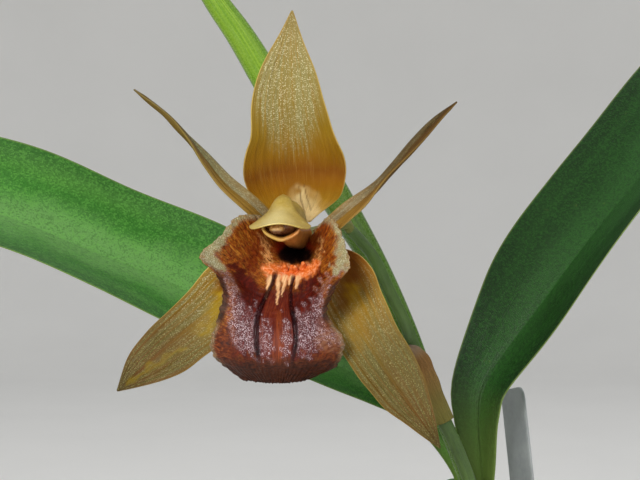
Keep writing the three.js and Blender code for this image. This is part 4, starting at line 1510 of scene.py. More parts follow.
@dataclass
class BarkFill:
    """The chipped bark that fills the pot: a low mound with chips heaped on it."""

    top: float = 97
    chips: int = 170
    chip: Point = (15, 9.5, 5)
    spread: tuple[float, float] = (0.5, 1.4)
    lean: float = 0.45
    lie: tuple[float, float] = (-2.2, 1.0)
    seed: int = 11
    first_chip: int = 300
    rings: int = 40
    sides: int = 120
    ball: tuple[int, int] = (6, 11)
    pot_floor: float = 9.0

    def mound(self, reach: float) -> Shape:
        """The bed under the chips: rings of a lumpy disc, with a wall down to the pot's floor.

        Args:
            reach: Its radius.

        Returns:
            The bed.
        """
        r = np.concatenate([[2.0], np.linspace(6, reach, self.rings), [reach - 0.5, reach - 13]])
        z = np.concatenate([np.full(self.rings + 1, self.top - 2.5), [self.top - 6, self.pot_floor]])
        angle = np.arange(self.sides) * 2 * np.pi / self.sides
        flat = np.stack([r[:, None] * np.cos(angle), r[:, None] * np.sin(angle)], -1)
        lumps = (1.4 * ripple(flat, 9, 4) + 0.7 * ripple(flat, 3, 5)) * (z > self.top - 4)[:, None]
        rings = np.concatenate([flat, (z[:, None] + lumps)[..., None]], -1)
        body = capped(rings, np.array([0, 0, float(rings[0, :, 2].mean())]), np.array([0, 0, self.pot_floor]))
        body.marks = {"place": body.points / 12, "tint": np.full(len(body.points), 0.1)}
        return body

    def one_chip(self, at: Array, size: Array, turn: Array, seed: int) -> Shape:
        """A chip: a cube's rounded form, |x|^8 + |y|^8 + |z|^8 = 1, made uneven by noise.

        Args:
            at: Its middle.
            size: Its three sides.
            turn: Its turns about x, y and z.
            seed: The noise's seed.

        Returns:
            The chip.
        """
        ball = globe(*self.ball)
        form = ball.points / ((np.abs(ball.points) ** 8).sum(-1, keepdims=True) ** 0.125)
        rough = 1 + 0.17 * ripple(form, 1.5, seed)[:, None] + 0.08 * ripple(form, 0.5, seed + 1)[:, None]
        cx, cy, cz = np.cos(turn)
        sx, sy, sz = np.sin(turn)
        tilt = np.array([[cy, 0, sy], [0, 1, 0], [-sy, 0, cy]]) @ np.array([[1, 0, 0], [0, cx, -sx], [0, sx, cx]])
        spin = np.array([[cz, -sz, 0], [sz, cz, 0], [0, 0, 1]]) @ tilt
        ball.points = (form * rough * size / 2) @ spin.T + at
        grey = np.random.default_rng(seed).uniform(0, 1) ** 2
        ball.marks = {"place": form + seed * 0.37, "tint": np.full(len(form), grey)}
        return ball

    def build(self, pot: Pot) -> None:
        """Makes the fill inside this pot.

        Args:
            pot: The pot.
        """
        reach = pot.outer(self.top) - pot.wall - 2 * GAP
        draw = np.random.default_rng(self.seed)
        golden = np.pi * (3 - np.sqrt(5))
        shapes = [self.mound(reach)]
        for k in range(self.chips):
            size = np.array(self.chip) * draw.uniform(*self.spread, 3)
            far = (reach - size[:2].min() / 2 - 1.0) * np.sqrt((k + 0.5) / self.chips)
            turn = np.array([*draw.uniform(-self.lean, self.lean, 2), draw.uniform(0, 2 * np.pi)])
            high = self.top + draw.uniform(*self.lie)
            at = np.array([far * np.cos(k * golden), far * np.sin(k * golden), high])
            shapes.append(self.one_chip(at, size, turn, self.first_chip + 2 * k))
        piece("bark_chips", Shape.joined(shapes), BarkFinish().material(), "potting_bark")


# A dry scale's thickness, and its rows and columns of points
SCALE_THICK = 0.5
SCALE_GRID = (56, 84)


def wrapped(
    rib: Sequence[Sequence[float]], radius: float, middle: float, arc: float, flare: float, seam: Point = (1, 0, 0)
) -> Shape:
    """A scale wrapped round a stem, which closes to a point at its tip.

    At s it spans middle +- arc sqrt(1 - s^2.2) degrees at the radius plus flare s^2, with fine pleats and
    a crinkled margin.

    Args:
        rib: The stem's own line.
        radius: The radius at the foot.
        middle: The angle of the scale's midline, in degrees.
        arc: Half of the angle that it spans at the foot.
        flare: How far the tip stands off.
        seam: The direction that angle 0 is square to.

    Returns:
        The scale.
    """
    route = Route(rib)

    def at(s: Array, a: Array) -> Array:
        """The scale's middle surface.

        Args:
            s: Shares of the length.
            a: Places across.

        Returns:
            The points.
        """
        along = route.along(s)
        side = unit(np.cross(along, np.asarray(seam, float)))
        up = unit(np.cross(side, along))
        span = arc * np.sqrt(np.maximum(1 - s**2.2, 0.004))
        angle = np.radians(middle + a * span)[..., None]
        r = (radius + flare * s * s + 0.25 * s * a**4 * np.sin(21 * s + 2 * a))[..., None]
        return route.at(s) + side * r * np.cos(angle) + up * r * np.sin(angle)

    def pleats(s: Array, a: Array) -> Array:
        """The height of the pleats."""
        return 0.07 * np.sin(a * 44) * (1 - 0.5 * s)

    rows, columns = SCALE_GRID
    return sheet(at, np.linspace(0, 1, rows), spaced(columns, 0.2), SCALE_THICK, front=-1, relief=pleats)


@dataclass
class NewGrowth:
    """The shoot of this year, with its three papery scales.

    A scale holds where it starts and ends on the shoot, its middle and arc in degrees, how far out it
    lies and how far its tip stands off.
    """

    grid: tuple[int, int] = (60, 78)
    scales: tuple[tuple[float, ...], ...] = (
        (0.19, 0.6, 100, 120, 3.2, 1.6),
        (0.21, 0.9, 285, 125, 2.05, 1.5),
        (0.3, 1.25, 120, 115, 0.9, 1.2),
    )

    def body(self) -> Shape:
        """The shoot: crown plus (wide - crown) times a sine whose belly is low down.

        Returns:
            The shoot.
        """
        low = np.asarray(SHOOT.foot, float) - SHOOT.axis()

        def radius(s: Array, angle: Array) -> Array:
            """The shoot's radius, with faint ribs."""
            swell = np.sin(np.pi * np.minimum(1, 0.12 + 1.25 * s))
            return SHOOT.crown + (SHOOT.wide - SHOOT.crown) * swell + 0.08 * np.cos(13 * angle)

        return rod([low, SHOOT.top], radius, *self.grid, (1, 0, 0), dome=FLAT_DOME)

    def build(self) -> None:
        """Makes the shoot and its scales."""
        finish = StemFinish("shoot_green", "46601E", "7A9440", browned=0.9)
        piece("shoot", self.body(), finish.material(), "new_growth")
        foot, top = np.asarray(SHOOT.foot, float), np.asarray(SHOOT.top, float)
        for k, (start, end, middle, arc, layer, flare) in enumerate(self.scales, 1):
            rib = [foot + (top - foot) * t for t in (start, (start + end) / 2, end)]
            dry = FibreFinish(f"scale_{k}_paper", green=0.35 if k == 3 else 0.0)
            shape = wrapped(rib, SHOOT.wide + layer, middle, arc, flare)
            piece(f"papery_scale_{k}", shape, dry.material(), f"sheath_scale_{k}")


# The grown leaves' bend across each half, their fold along the midrib, and their thickness, from foot to tip
LEAF_CUP = (0.5, 0.35, 0.3, 0.25, 0.2)
LEAF_FOLD = (0.25, 0.4, 0.3, 0.22, 0.15)
PETIOLE = (2.4, 1.5, LEAF_THICK, LEAF_THICK, LEAF_THICK, LEAF_THICK, LEAF_THICK, LEAF_THICK, 0.8)


def leaf_blades() -> dict[str, Blade]:
    """The five grown leaves, each seated on its pseudobulb's crown.

    Returns:
        Each leaf's blade, by its node's name.
    """
    lead, second, third = BULBS["leading"], BULBS["second"], BULBS["third"]
    forms = {
        "leaf_left": (
            lead.seat(-2.85, 0, [(6, 12, 167), (-7, 9.5, 176.5), (-27, 4, 187), (-49, -2, 198.5), (-73, -8, 209.5),
                                 (-98, -13, 220), (-126, -18, 226), (-154, -22, 224), (-178, -26, 213)]),
            [[-0.5, -0.8, 0.2], [0.1, -0.8, 0.55], [0.25, -0.7, 0.65], [0.2, -0.6, 0.8], [0.3, -0.4, 0.85]],
            [[2.1, 2.1], [4, 4], [14, 13], [19, 18.5], [20, 20], [20.2, 20], [18.5, 18.5], [12.5, 12.5], [0.6, 0.6]],
            (1.1, 3.2, 0.2),
        ),
        "leaf_right": (
            lead.seat(2.85, 0.6, [(20.3, 12.3, 168), (23, 14, 178), (36.8, 18, 196), (54.4, 24, 217.7),
                                  (70, 30, 235.7), (93, 41, 262), (116, 55, 284), (137, 72, 297), (155, 90, 299)]),
            [[-0.2, -0.95, 0.1], [-0.5, -0.65, 0.45], [-0.55, -0.5, 0.6], [-0.5, -0.4, 0.75], [-0.3, -0.3, 0.9]],
            [[2.1, 2.1], [9, 9], [17.5, 18.5], [20.5, 21.2], [21.5, 22], [21, 21], [18, 18], [11.5, 11.5], [0.6, 0.6]],
            (0.9, 2.4, 0.9),
        ),
        "leaf_back_right": (
            second.seat(2.6, 0, [(12, 60.5, 134), (30, 80, 130.5), (54, 106, 116), (78, 131, 91), (96, 151, 60)], 5),
            [[-0.3, -0.8, 0.3], [-0.2, -0.2, 0.9], [0, 0, 1], [0.2, 0.3, 0.8], [0.3, 0.5, 0.5]],
            [[1.9, 1.9], [6, 6], [15, 15], [18, 18], [18.5, 18.5], [18, 18], [15.5, 15.5], [10, 10], [0.6, 0.6]],
            (1.2, 2.2, 0.5),
        ),
        "leaf_back_left": (
            second.seat(-2.6, 0, [(-9, 59, 133), (-34, 80, 127), (-63, 100, 111), (-91, 117, 88), (-112, 127, 56)], 5),
            [[0.3, -0.8, 0.3], [0.2, -0.2, 0.9], [0, 0, 1], [-0.2, 0.2, 0.8], [-0.4, 0.3, 0.6]],
            [[1.9, 1.9], [6, 6], [14.5, 14.5], [17.5, 17.5], [18, 18], [17, 17], [14.5, 14.5], [9, 9], [0.6, 0.6]],
            (1.2, 2.6, 1.1),
        ),
        "leaf_side": (
            third.seat(0, 0, [(-36, 45, 131), (-62, 46, 129), (-94, 44, 116), (-123, 39, 96), (-144, 33, 65)], 4),
            [[0.8, -0.3, 0.3], [0.4, -0.1, 0.9], [0, 0, 1], [-0.3, 0, 0.8], [-0.6, 0, 0.5]],
            [[1.9, 1.9], [6, 6], [14, 14], [16.5, 16.5], [17, 17], [16, 16], [13.5, 13.5], [8.5, 8.5], [0.6, 0.6]],
            (1.0, 2.4, 0.3),
        ),
    }
    return {name: Blade(rib, face, half, LEAF_CUP, LEAF_FOLD, wave) for name, (rib, face, half, wave) in forms.items()}


@dataclass
class Foliage:
    """The five grown leaves and the rolled young one."""

    rolled_size: tuple[float, ...] = (1.9, 2, 2.1, 2.4, 3.3, 4.1, 4.1, 3.5, 2.6, 1.4, 0.35)
    rolled_twist: float = 5
    rolled_grid: tuple[int, int] = (220, 72)
    leaf_grid: tuple[int, int] = (120, 61)
    first_leaf: int = 20

    def leaf(self, blade: Blade, seed: int) -> Shape:
        """One leaf: its blade with a keel under the midrib, a few raised veins and slight unevenness.

        Args:
            blade: Its form.
            seed: The unevenness's seed.

        Returns:
            The leaf.
        """

        def thick(s: Array, a: Array) -> Array:
            """The thickness, with the keel."""
            return spline(PETIOLE, s) * (1 - 0.35 * smooth(np.abs(a), 0.5, 1)) + 0.5 * bell(a, 0, 0.05) * (1 - s)

        def relief(s: Array, a: Array) -> Array:
            """Veins, unevenness and the groove over the midrib.

            Args:
                s: Shares of the length.
                a: Places across.

            Returns:
                The height.
            """
            open_part = smooth(s, 0.08, 0.3) * (1 - smooth(s, 0.9, 1))
            veins = 0.02 * np.cos(a * 2 * np.pi * 3.5) + 0.012 * np.cos(a * 2 * np.pi * 7)
            uneven = 0.32 * ripple(np.stack([s * 10, a * 2], -1), 2.4, seed)
            groove = -0.2 * bell(a, 0, 0.035)
            return (veins + uneven + groove) * open_part

        rows, columns = self.leaf_grid
        return sheet(blade.surface(), np.linspace(0, 1, rows), spaced(columns), thick, relief=relief)

    def rolled(self) -> Shape:
        """The young leaf: size(s) times 1 + 0.05 cos(angle - twist s), with a step at its spiral edge.

        Returns:
            The rolled leaf, with its seam as a mark.
        """
        rib = SHOOT.seat(0, 2.3, [(13.3, 3, 161.3), (8.3, 3.6, 172.6), (1, 4, 191.7), (-8.1, 2, 209.5),
                                  (-22.6, -6, 233), (-38.2, -14, 259.8), (-46, -18, 271.1), (-56.5, -23, 287),
                                  (-67.5, -29, 306)])

        def phase(s: Array, angle: Array) -> Array:
            """How far round each place lies from the spiral edge."""
            return np.mod(angle - self.rolled_twist * s * 0.6 + 2.2, 2 * np.pi)

        def radius(s: Array, angle: Array) -> Array:
            """The rolled leaf's radius.

            Args:
                s: Shares of the length.
                angle: Angles.

            Returns:
                The radius.
            """
            wrap = 1 + 0.05 * np.cos(angle - self.rolled_twist * s)
            edge = 0.06 * (phase(s, angle) / (2 * np.pi) - 0.5) * smooth(s, 0.05, 0.2)
            return spline(self.rolled_size, s) * (wrap + edge)

        body = rod(rib, radius, *self.rolled_grid, (0, 1, 0))
        s, c, d = body.marks["place"].T
        turn = phase(s, np.mod(np.arctan2(d, c), 2 * np.pi))
        body.marks["seam"] = (bell(turn, 0, 0.16) + bell(turn, 2 * np.pi, 0.16)) * smooth(s, 0.05, 0.15)
        return body

    def build(self) -> None:
        """Makes the leaves."""
        finishes = {
            # The left leaf carries more of the painted sheen, and the right leaf's darker colours are painted shade
            "leaf_left": LeafFinish("leaf_left_green", "1B4A0E", "2F6E1C", "5C9A3C", sheen_amount=0.6),
            "leaf_right": LeafFinish("leaf_right_green_shaded", "0B2405", "153C0C", "285A1C", veil="305C28"),
        }
        plain = LeafFinish("leaf_green").material()
        for k, (name, blade) in enumerate(leaf_blades().items()):
            material = finishes[name].material() if name in finishes else plain
            piece(f"blade_{name}", self.leaf(blade, self.first_leaf + k), material, name)
        piece("rolled_leaf", self.rolled(), RolledLeafFinish().material(), "young_leaf")


@dataclass
class FlowerStem:
    """The flower stem with its bract."""

    radius: tuple[float, float] = (1.725, 1.35)
    grid: tuple[int, int] = (150, 32)
    bract_from: tuple[float, ...] = (0.34, 0.4, 0.46, 0.52, 0.58)
    bract_radius: float = 2.45
    bract_middle: float = -70
    bract_arc: float = 105
    bract_flare: float = 1.3

    def rib(self) -> list[list[float]]:
        """The stem's line, from the shoot's crown up behind the bloom."""
        return SHOOT.seat(0, -2.3, [(13.4, -2, 161.5), (8, -2, 173), (0.5, -4.5, 192.2), (-3.9, -8, 201.2),
                                    (-7.7, -12, 209.2), (-11.5, -18, 214), (-14, -22.5, 216.5)])

    def build(self) -> None:
        """Makes the stem and the bract."""

        def radius(s: Array, angle: Array) -> Array:
            """The stem's radius, with two joints."""
            joint = 0.12 * bell(s, 0.33, 0.012) + 0.1 * bell(s, 0.12, 0.01)
            return spline(self.radius, s) * (1 + 0.03 * np.cos(5 * angle + 2 * s)) + joint

        stalk = rod(self.rib(), radius, *self.grid, (0, 1, 0))
        piece("stalk", stalk, StemFinish("stalk_green").material(), "flower_stem")
        rib = Route(self.rib()).at(np.array(self.bract_from))
        bract = wrapped(rib, self.bract_radius, self.bract_middle, self.bract_arc, self.bract_flare, (0, 1, 0))
        # The bract's darker colours are partly its own and partly painted shade
        paper = FibreFinish("bract_paper_shaded", "80581F", "B08648", "4A3210", green=0.8)
        piece("bract", bract, paper.material(), "stem_bract")


@dataclass
class PlantLabel:
    """The blank plastic label, a strip with a pointed foot and a rounded top."""

    width: float = 13
    thick: float = 1
    point: float = 14
    round: float = 3
    foot: Point = (40, 17, 76)
    top: Point = (32, 36, 173)
    across: Point = (0.36, -0.93, 0)
    rows: int = 60
    corner_rows: int = 9
    columns: int = 25

    def build(self) -> None:
        """Makes the strip: at s its half-width is narrowed to the point below and to a round corner above."""
        foot, top = np.asarray(self.foot, float), np.asarray(self.top, float)
        length = float(np.linalg.norm(top - foot))
        up = (top - foot) / length
        across = np.asarray(self.across, float)
        across = unit(across - across @ up * up)
        corner = 1 - np.linspace(0, self.round / length, self.corner_rows) ** 1.5
        rows = np.unique(np.concatenate([np.linspace(0, 1, self.rows), corner]))

        def at(s: Array, a: Array) -> Array:
            """The strip's middle surface.

            Args:
                s: Shares of the length.
                a: Places across.

            Returns:
                The points.
            """
            far = s * length
            low = np.clip(far / self.point, 0.02, 1)
            lift = np.clip((far - (length - self.round)) / self.round, 0, 1)
            half = self.width / 2 * low - self.round * (1 - np.sqrt(1 - lift**2 * 0.98))
            return foot + up * far[..., None] + across * (half * a)[..., None]

        strip = sheet(at, rows, spaced(self.columns), self.thick)
        piece("label_strip", strip, LabelFinish().material(), "plant_label")


# The end of the ovary that the bloom's pieces grow from, and how far they stand off it
RECEPTACLE = (-4.5, 20, 0)
RECEPTACLE_RADIUS = 3.0
RECEPTACLE_CLEAR = 0.5


def rim_point(degrees: float, y: float) -> Point:
    """Where a piece of the bloom leaves the receptacle, at this angle seen from the front.

    Args:
        degrees: The angle.
        y: How far behind the bloom's middle plane it starts.

    Returns:
        The point.
    """
    reach = RECEPTACLE_RADIUS + RECEPTACLE_CLEAR + TEPAL_THICK / 2
    turn = np.radians(degrees)
    return (RECEPTACLE[0] + reach * float(np.cos(turn)), y, RECEPTACLE[2] + reach * float(np.sin(turn)))


TEPALS = {
    "dorsal_sepal": Blade(
        [rim_point(90, 19), (-4.8, 17.5, 6.6), (-5.2, 14.5, 10.5), (-5.6, 11.5, 16), (-6.1, 7, 22.3), (-6.7, 2, 29.6),
         (-6.5, -1.2, 38), (-5.8, -2.5, 47.8)],
        [[0, -1, 0.4], [0, -1, 0.2], [0, -1, 0], [0, -1, -0.1], [0, -1, -0.1]],
        [[2.5, 2.5], [8.8, 9.2], [11.4, 11.5], [11.4, 11.6], [9.5, 9.7], [8.3, 8.3], [6.3, 6.2], [3, 3], [0.16, 0.16]],
        [0.3, 0.5, 0.65, 0.4, 0.3],
        [0, 0, 0.05, 0.1, 0.12],
    ),
    "lateral_sepal_left": Blade(
        [rim_point(218, 19.5), (-11.5, 16, -6), (-17, 11.5, -10.8), (-23.5, 7.5, -15.8), (-30, 5, -21),
         (-36.5, 3.5, -26.6), (-42.9, 2, -31.9)],
        [[0, -1, 0], [0.05, -1, 0], [0, -1, 0.1], [-0.1, -1, 0.15], [-0.1, -1, 0.1]],
        [[2, 2], [4.6, 5.6], [6.2, 8.2], [6.8, 8.5], [7, 6.9], [6.8, 6.1], [6.4, 5.6], [3.8, 4.1], [0.16, 0.16]],
        [0.5, 0.35, 0.3, 0.3, 0.3],
        [0, 0.05, 0.08, 0.1, 0.12],
    ),
    "lateral_sepal_right": Blade(
        [rim_point(310, 19.5), (1.5, 15.5, -8), (5.5, 10.5, -14.2), (9.8, 7, -20.8), (14.8, 4.8, -28.3), (20, 3, -36),
         (25.4, 2, -44)],
        [[0, -1, 0], [-0.05, -1, 0], [0, -1, 0.1], [0.1, -1, 0.15], [0.1, -1, 0.1]],
        [[2, 2], [8, 4.6], [9.6, 5.6], [8.3, 6.2], [7, 6.4], [6.6, 6.3], [5.3, 5.5], [3, 2.9], [0.16, 0.16]],
        [0.5, 0.35, 0.3, 0.3, 0.3],
        [0, 0.05, 0.08, 0.1, 0.12],
    ),
    "petal_left": Blade(
        [rim_point(160, 18.2), (-10.6, 11.5, 3.3), (-15, 6.5, 7.5), (-20.3, 5.5, 12), (-25.3, 7, 17.8),
         (-29, 8.5, 22.1), (-33.9, 10.5, 27.3), (-40.8, 13.5, 33)],
        [[0, -1, 0.1], [0.1, -0.95, 0.2], [0.3, -0.75, 0.5], [0.6, 0.05, 0.8], [0.6, -0.25, 0.7]],
        [[1.2, 1.2], [2, 2], [2.2, 2.2], [1.9, 1.9], [1.4, 1.4], [1.1, 1.1], [0.16, 0.16]],
        [0.3, 0.3],
        [0.15, 0.3, 0.35],
    ),
    "petal_right": Blade(
        [rim_point(20, 18.2), (2, 12, 2.8), (6, 7.5, 5.9), (10.6, 6.5, 9.4), (16, 6.5, 15.1), (20.6, 8, 20.6),
         (25.4, 10.5, 26), (29.9, 12.5, 30.2)],
        [[0, -1, 0.1], [-0.1, -0.95, 0.2], [-0.55, -0.3, 0.8], [-0.3, -0.75, 0.5], [-0.3, -0.7, 0.6]],
        [[1.2, 1.2], [2, 2], [2.3, 2.3], [2.1, 2.1], [1.6, 1.6], [1.2, 1.2], [0.16, 0.16]],
        [0.3, 0.3],
        [0.15, 0.3, 0.35],
    ),
}

# The tints that the lateral sepals and petals multiply in are painted shade
TEPAL_FINISHES = {
    # The ramp's darkest stop, near 0.27, is a painted shadow band where the sepal curves back, and the frost on its
    # upper part is partly a painted sheen
    "dorsal_sepal": TepalFinish(
        "dorsal_sepal_amber",
        ((0.0, "C8A860"), (0.12, "A87C1C"), (0.19, "8E5E06"), (0.27, "764404"), (0.36, "845C06"), (0.5, "86680E"),
         (0.75, "84702E"), (1.0, "927028")),
        frost=(0.3, 0.52),
        bright="DCC48C",
        streaks=0.16,
        gaps=0.6,
        taper=0.32,
    ),
    "lateral_sepal_left": TepalFinish(
        "lateral_sepal_left_gold",
        ((0.0, "9A6A12"), (0.2, "AE8418"), (0.5, "96741C"), (0.85, "905A10"), (1.0, "5E340C")),
        frost=(-0.05, 0.2),
        bright="B09018",
        shade_span=(0.35, 0.75),
        shade_tint="A4A480",
    ),
    "lateral_sepal_right": TepalFinish(
        "lateral_sepal_right_gold",
        ((0.0, "7C4206"), (0.2, "9A600C"), (0.4, "AE8418"), (0.6, "96741C"), (0.88, "905A10"), (1.0, "5E340C")),
        frost=(0.06, 0.34),
        bright="AC820A",
        shade_span=(0.05, 0.65),
        shade_tint="A4A480",
    ),
    "petal_left": TepalFinish(
        "petal_left_tan", ((0.0, "B48C3C"), (0.5, "9A742C"), (1.0, "7C5A20")), frost=(-0.1, 0.1), amount=0.9,
        veil="98947A", gaps=0.8, upper=1.0, shade_span=(0.0, 0.6), shade_tint="A8AC94",
    ),
    "petal_right": TepalFinish(
        "petal_right_tan", ((0.0, "B48C3C"), (0.5, "9A742C"), (1.0, "7C5A20")), frost=(-0.1, 0.1), amount=0.9,
        veil="98947A", gaps=0.8, upper=-1.0, shade_span=(0.05, 0.6), shade_tint="94886C",
    ),
}


def seen_at(points: Array) -> tuple[Array, Array]:
    """Where bloom points fall in the 640 by 480 frame, by the camera's own projection.

    A pixel is 0.21 mm wide at the bloom's middle plane and shrinks in step with the distance to the eye.
    """
    pixel = PX_AT_BLOOM * (VIEW_REACH + points[..., 1]) / VIEW_REACH
    return FRAME_PX[0] / 2 + points[..., 0] / pixel, FRAME_PX[1] / 2 - points[..., 2] / pixel


def near_line(x: Array, y: Array, line: Sequence[Sequence[float]], core: float = 0.35) -> Array:
    """How far inside a band of changing width each place lies.

    For each straight part of the line the distance is divided by the half-width there, and the smallest
    wins. The result is 1 on the line and 0 from one half-width on.

    Args:
        x: Places across the frame.
        y: Places down the frame.
        line: Points of x, y and half-width.
        core: The share of the half-width that is full.

    Returns:
        The share, from 0 to 1.
    """
    best = np.full(x.shape, 9.0)
    for (x0, y0, w0), (x1, y1, w1) in zip(line[:-1], line[1:]):
        dx, dy = x1 - x0, y1 - y0
        t = np.clip(((x - x0) * dx + (y - y0) * dy) / (dx * dx + dy * dy), 0, 1)
        far = np.hypot(x - x0 - t * dx, y - y0 - t * dy) / (w0 + t * (w1 - w0))
        best = np.minimum(best, far)
    return 1 - smooth(best, core, 1.0)


def in_oval(x: Array, y: Array, middle: tuple[float, float], reach: tuple[float, float], soft: float = 0.35) -> Array:
    """1 inside an oval and 0 outside it, with a soft edge."""
    far = np.hypot((x - middle[0]) / reach[0], (y - middle[1]) / reach[1])
    return 1 - smooth(far, 1 - soft, 1 + soft)


# A band of colour: points of x, y and half-width in the 640 by 480 frame
Band = tuple[tuple[float, float, float], ...]
# The lilac bands are a painted sheen along the lobes' ridges
LILAC_SHEEN_BANDS: tuple[Band, ...] = (
    ((204, 257, 4), (219, 266, 5), (230, 283, 7), (235, 300, 9), (240, 320, 16), (244, 337, 16), (257, 351, 8)),
    ((346, 266, 5), (332, 277, 6), (323, 289, 5), (318, 301, 7), (313, 317, 15), (312, 334, 19), (304, 350, 10)),
    ((257, 304, 3), (253, 322, 7), (256, 342, 6), (262, 355, 4)),
    ((297, 310, 3), (301, 328, 7), (300, 350, 7)),
    ((268, 322, 5), (266, 345, 8), (270, 358, 4)),
    ((286, 322, 5), (287, 345, 7), (284, 358, 4)),
    ((320, 334, 8), (338, 341, 8)),
)
# The frost bands are a painted sheen off the side lobes' front corners
FROST_SHEEN_BANDS: tuple[Band, ...] = (
    ((243, 214, 2), (232, 224, 5), (221, 237, 9), (210, 250, 13), (208, 257, 11), (222, 269, 5)),
    ((337, 226, 3), (341, 240, 7), (343, 252, 11), (343, 262, 11), (334, 272, 5)),
)
WINE_BANDS: tuple[Band, ...] = (
    ((234, 268, 7), (244, 280, 15), (252, 292, 15), (250, 330, 22), (262, 350, 14)),
    ((318, 270, 7), (311, 282, 14), (304, 300, 15), (306, 330, 20), (300, 350, 14)),
)
SALMON_RIDGE: Band = ((266, 269, 7), (277, 271, 11), (290, 272, 12), (303, 271, 11), (313, 267, 8), (318, 262, 4))
CREAM_STREAKS: tuple[Band, ...] = (
    ((270, 278, 4), (268, 288, 2.2), (266, 299, 0.6)),
    ((278, 277, 4), (278, 290, 2.4), (277, 306, 0.5)),
    ((285, 277, 4), (284, 286, 2.2), (281, 298, 0.5)),
    ((291, 277, 3), (289, 284, 1.6)),
    ((298, 278, 4), (296, 288, 1.5)),
)
RUSSET_BANDS: tuple[Band, ...] = (
    ((264, 220, 8), (259, 238, 9), (254, 254, 11), (250, 268, 8)),
    ((324, 220, 9), (319, 236, 10), (323, 252, 8)),
)
PEACH_BANDS: tuple[Band, ...] = (
    ((262, 236, 4), (267, 248, 7), (268, 264, 6)),
    ((322, 240, 4), (318, 256, 5)),
)


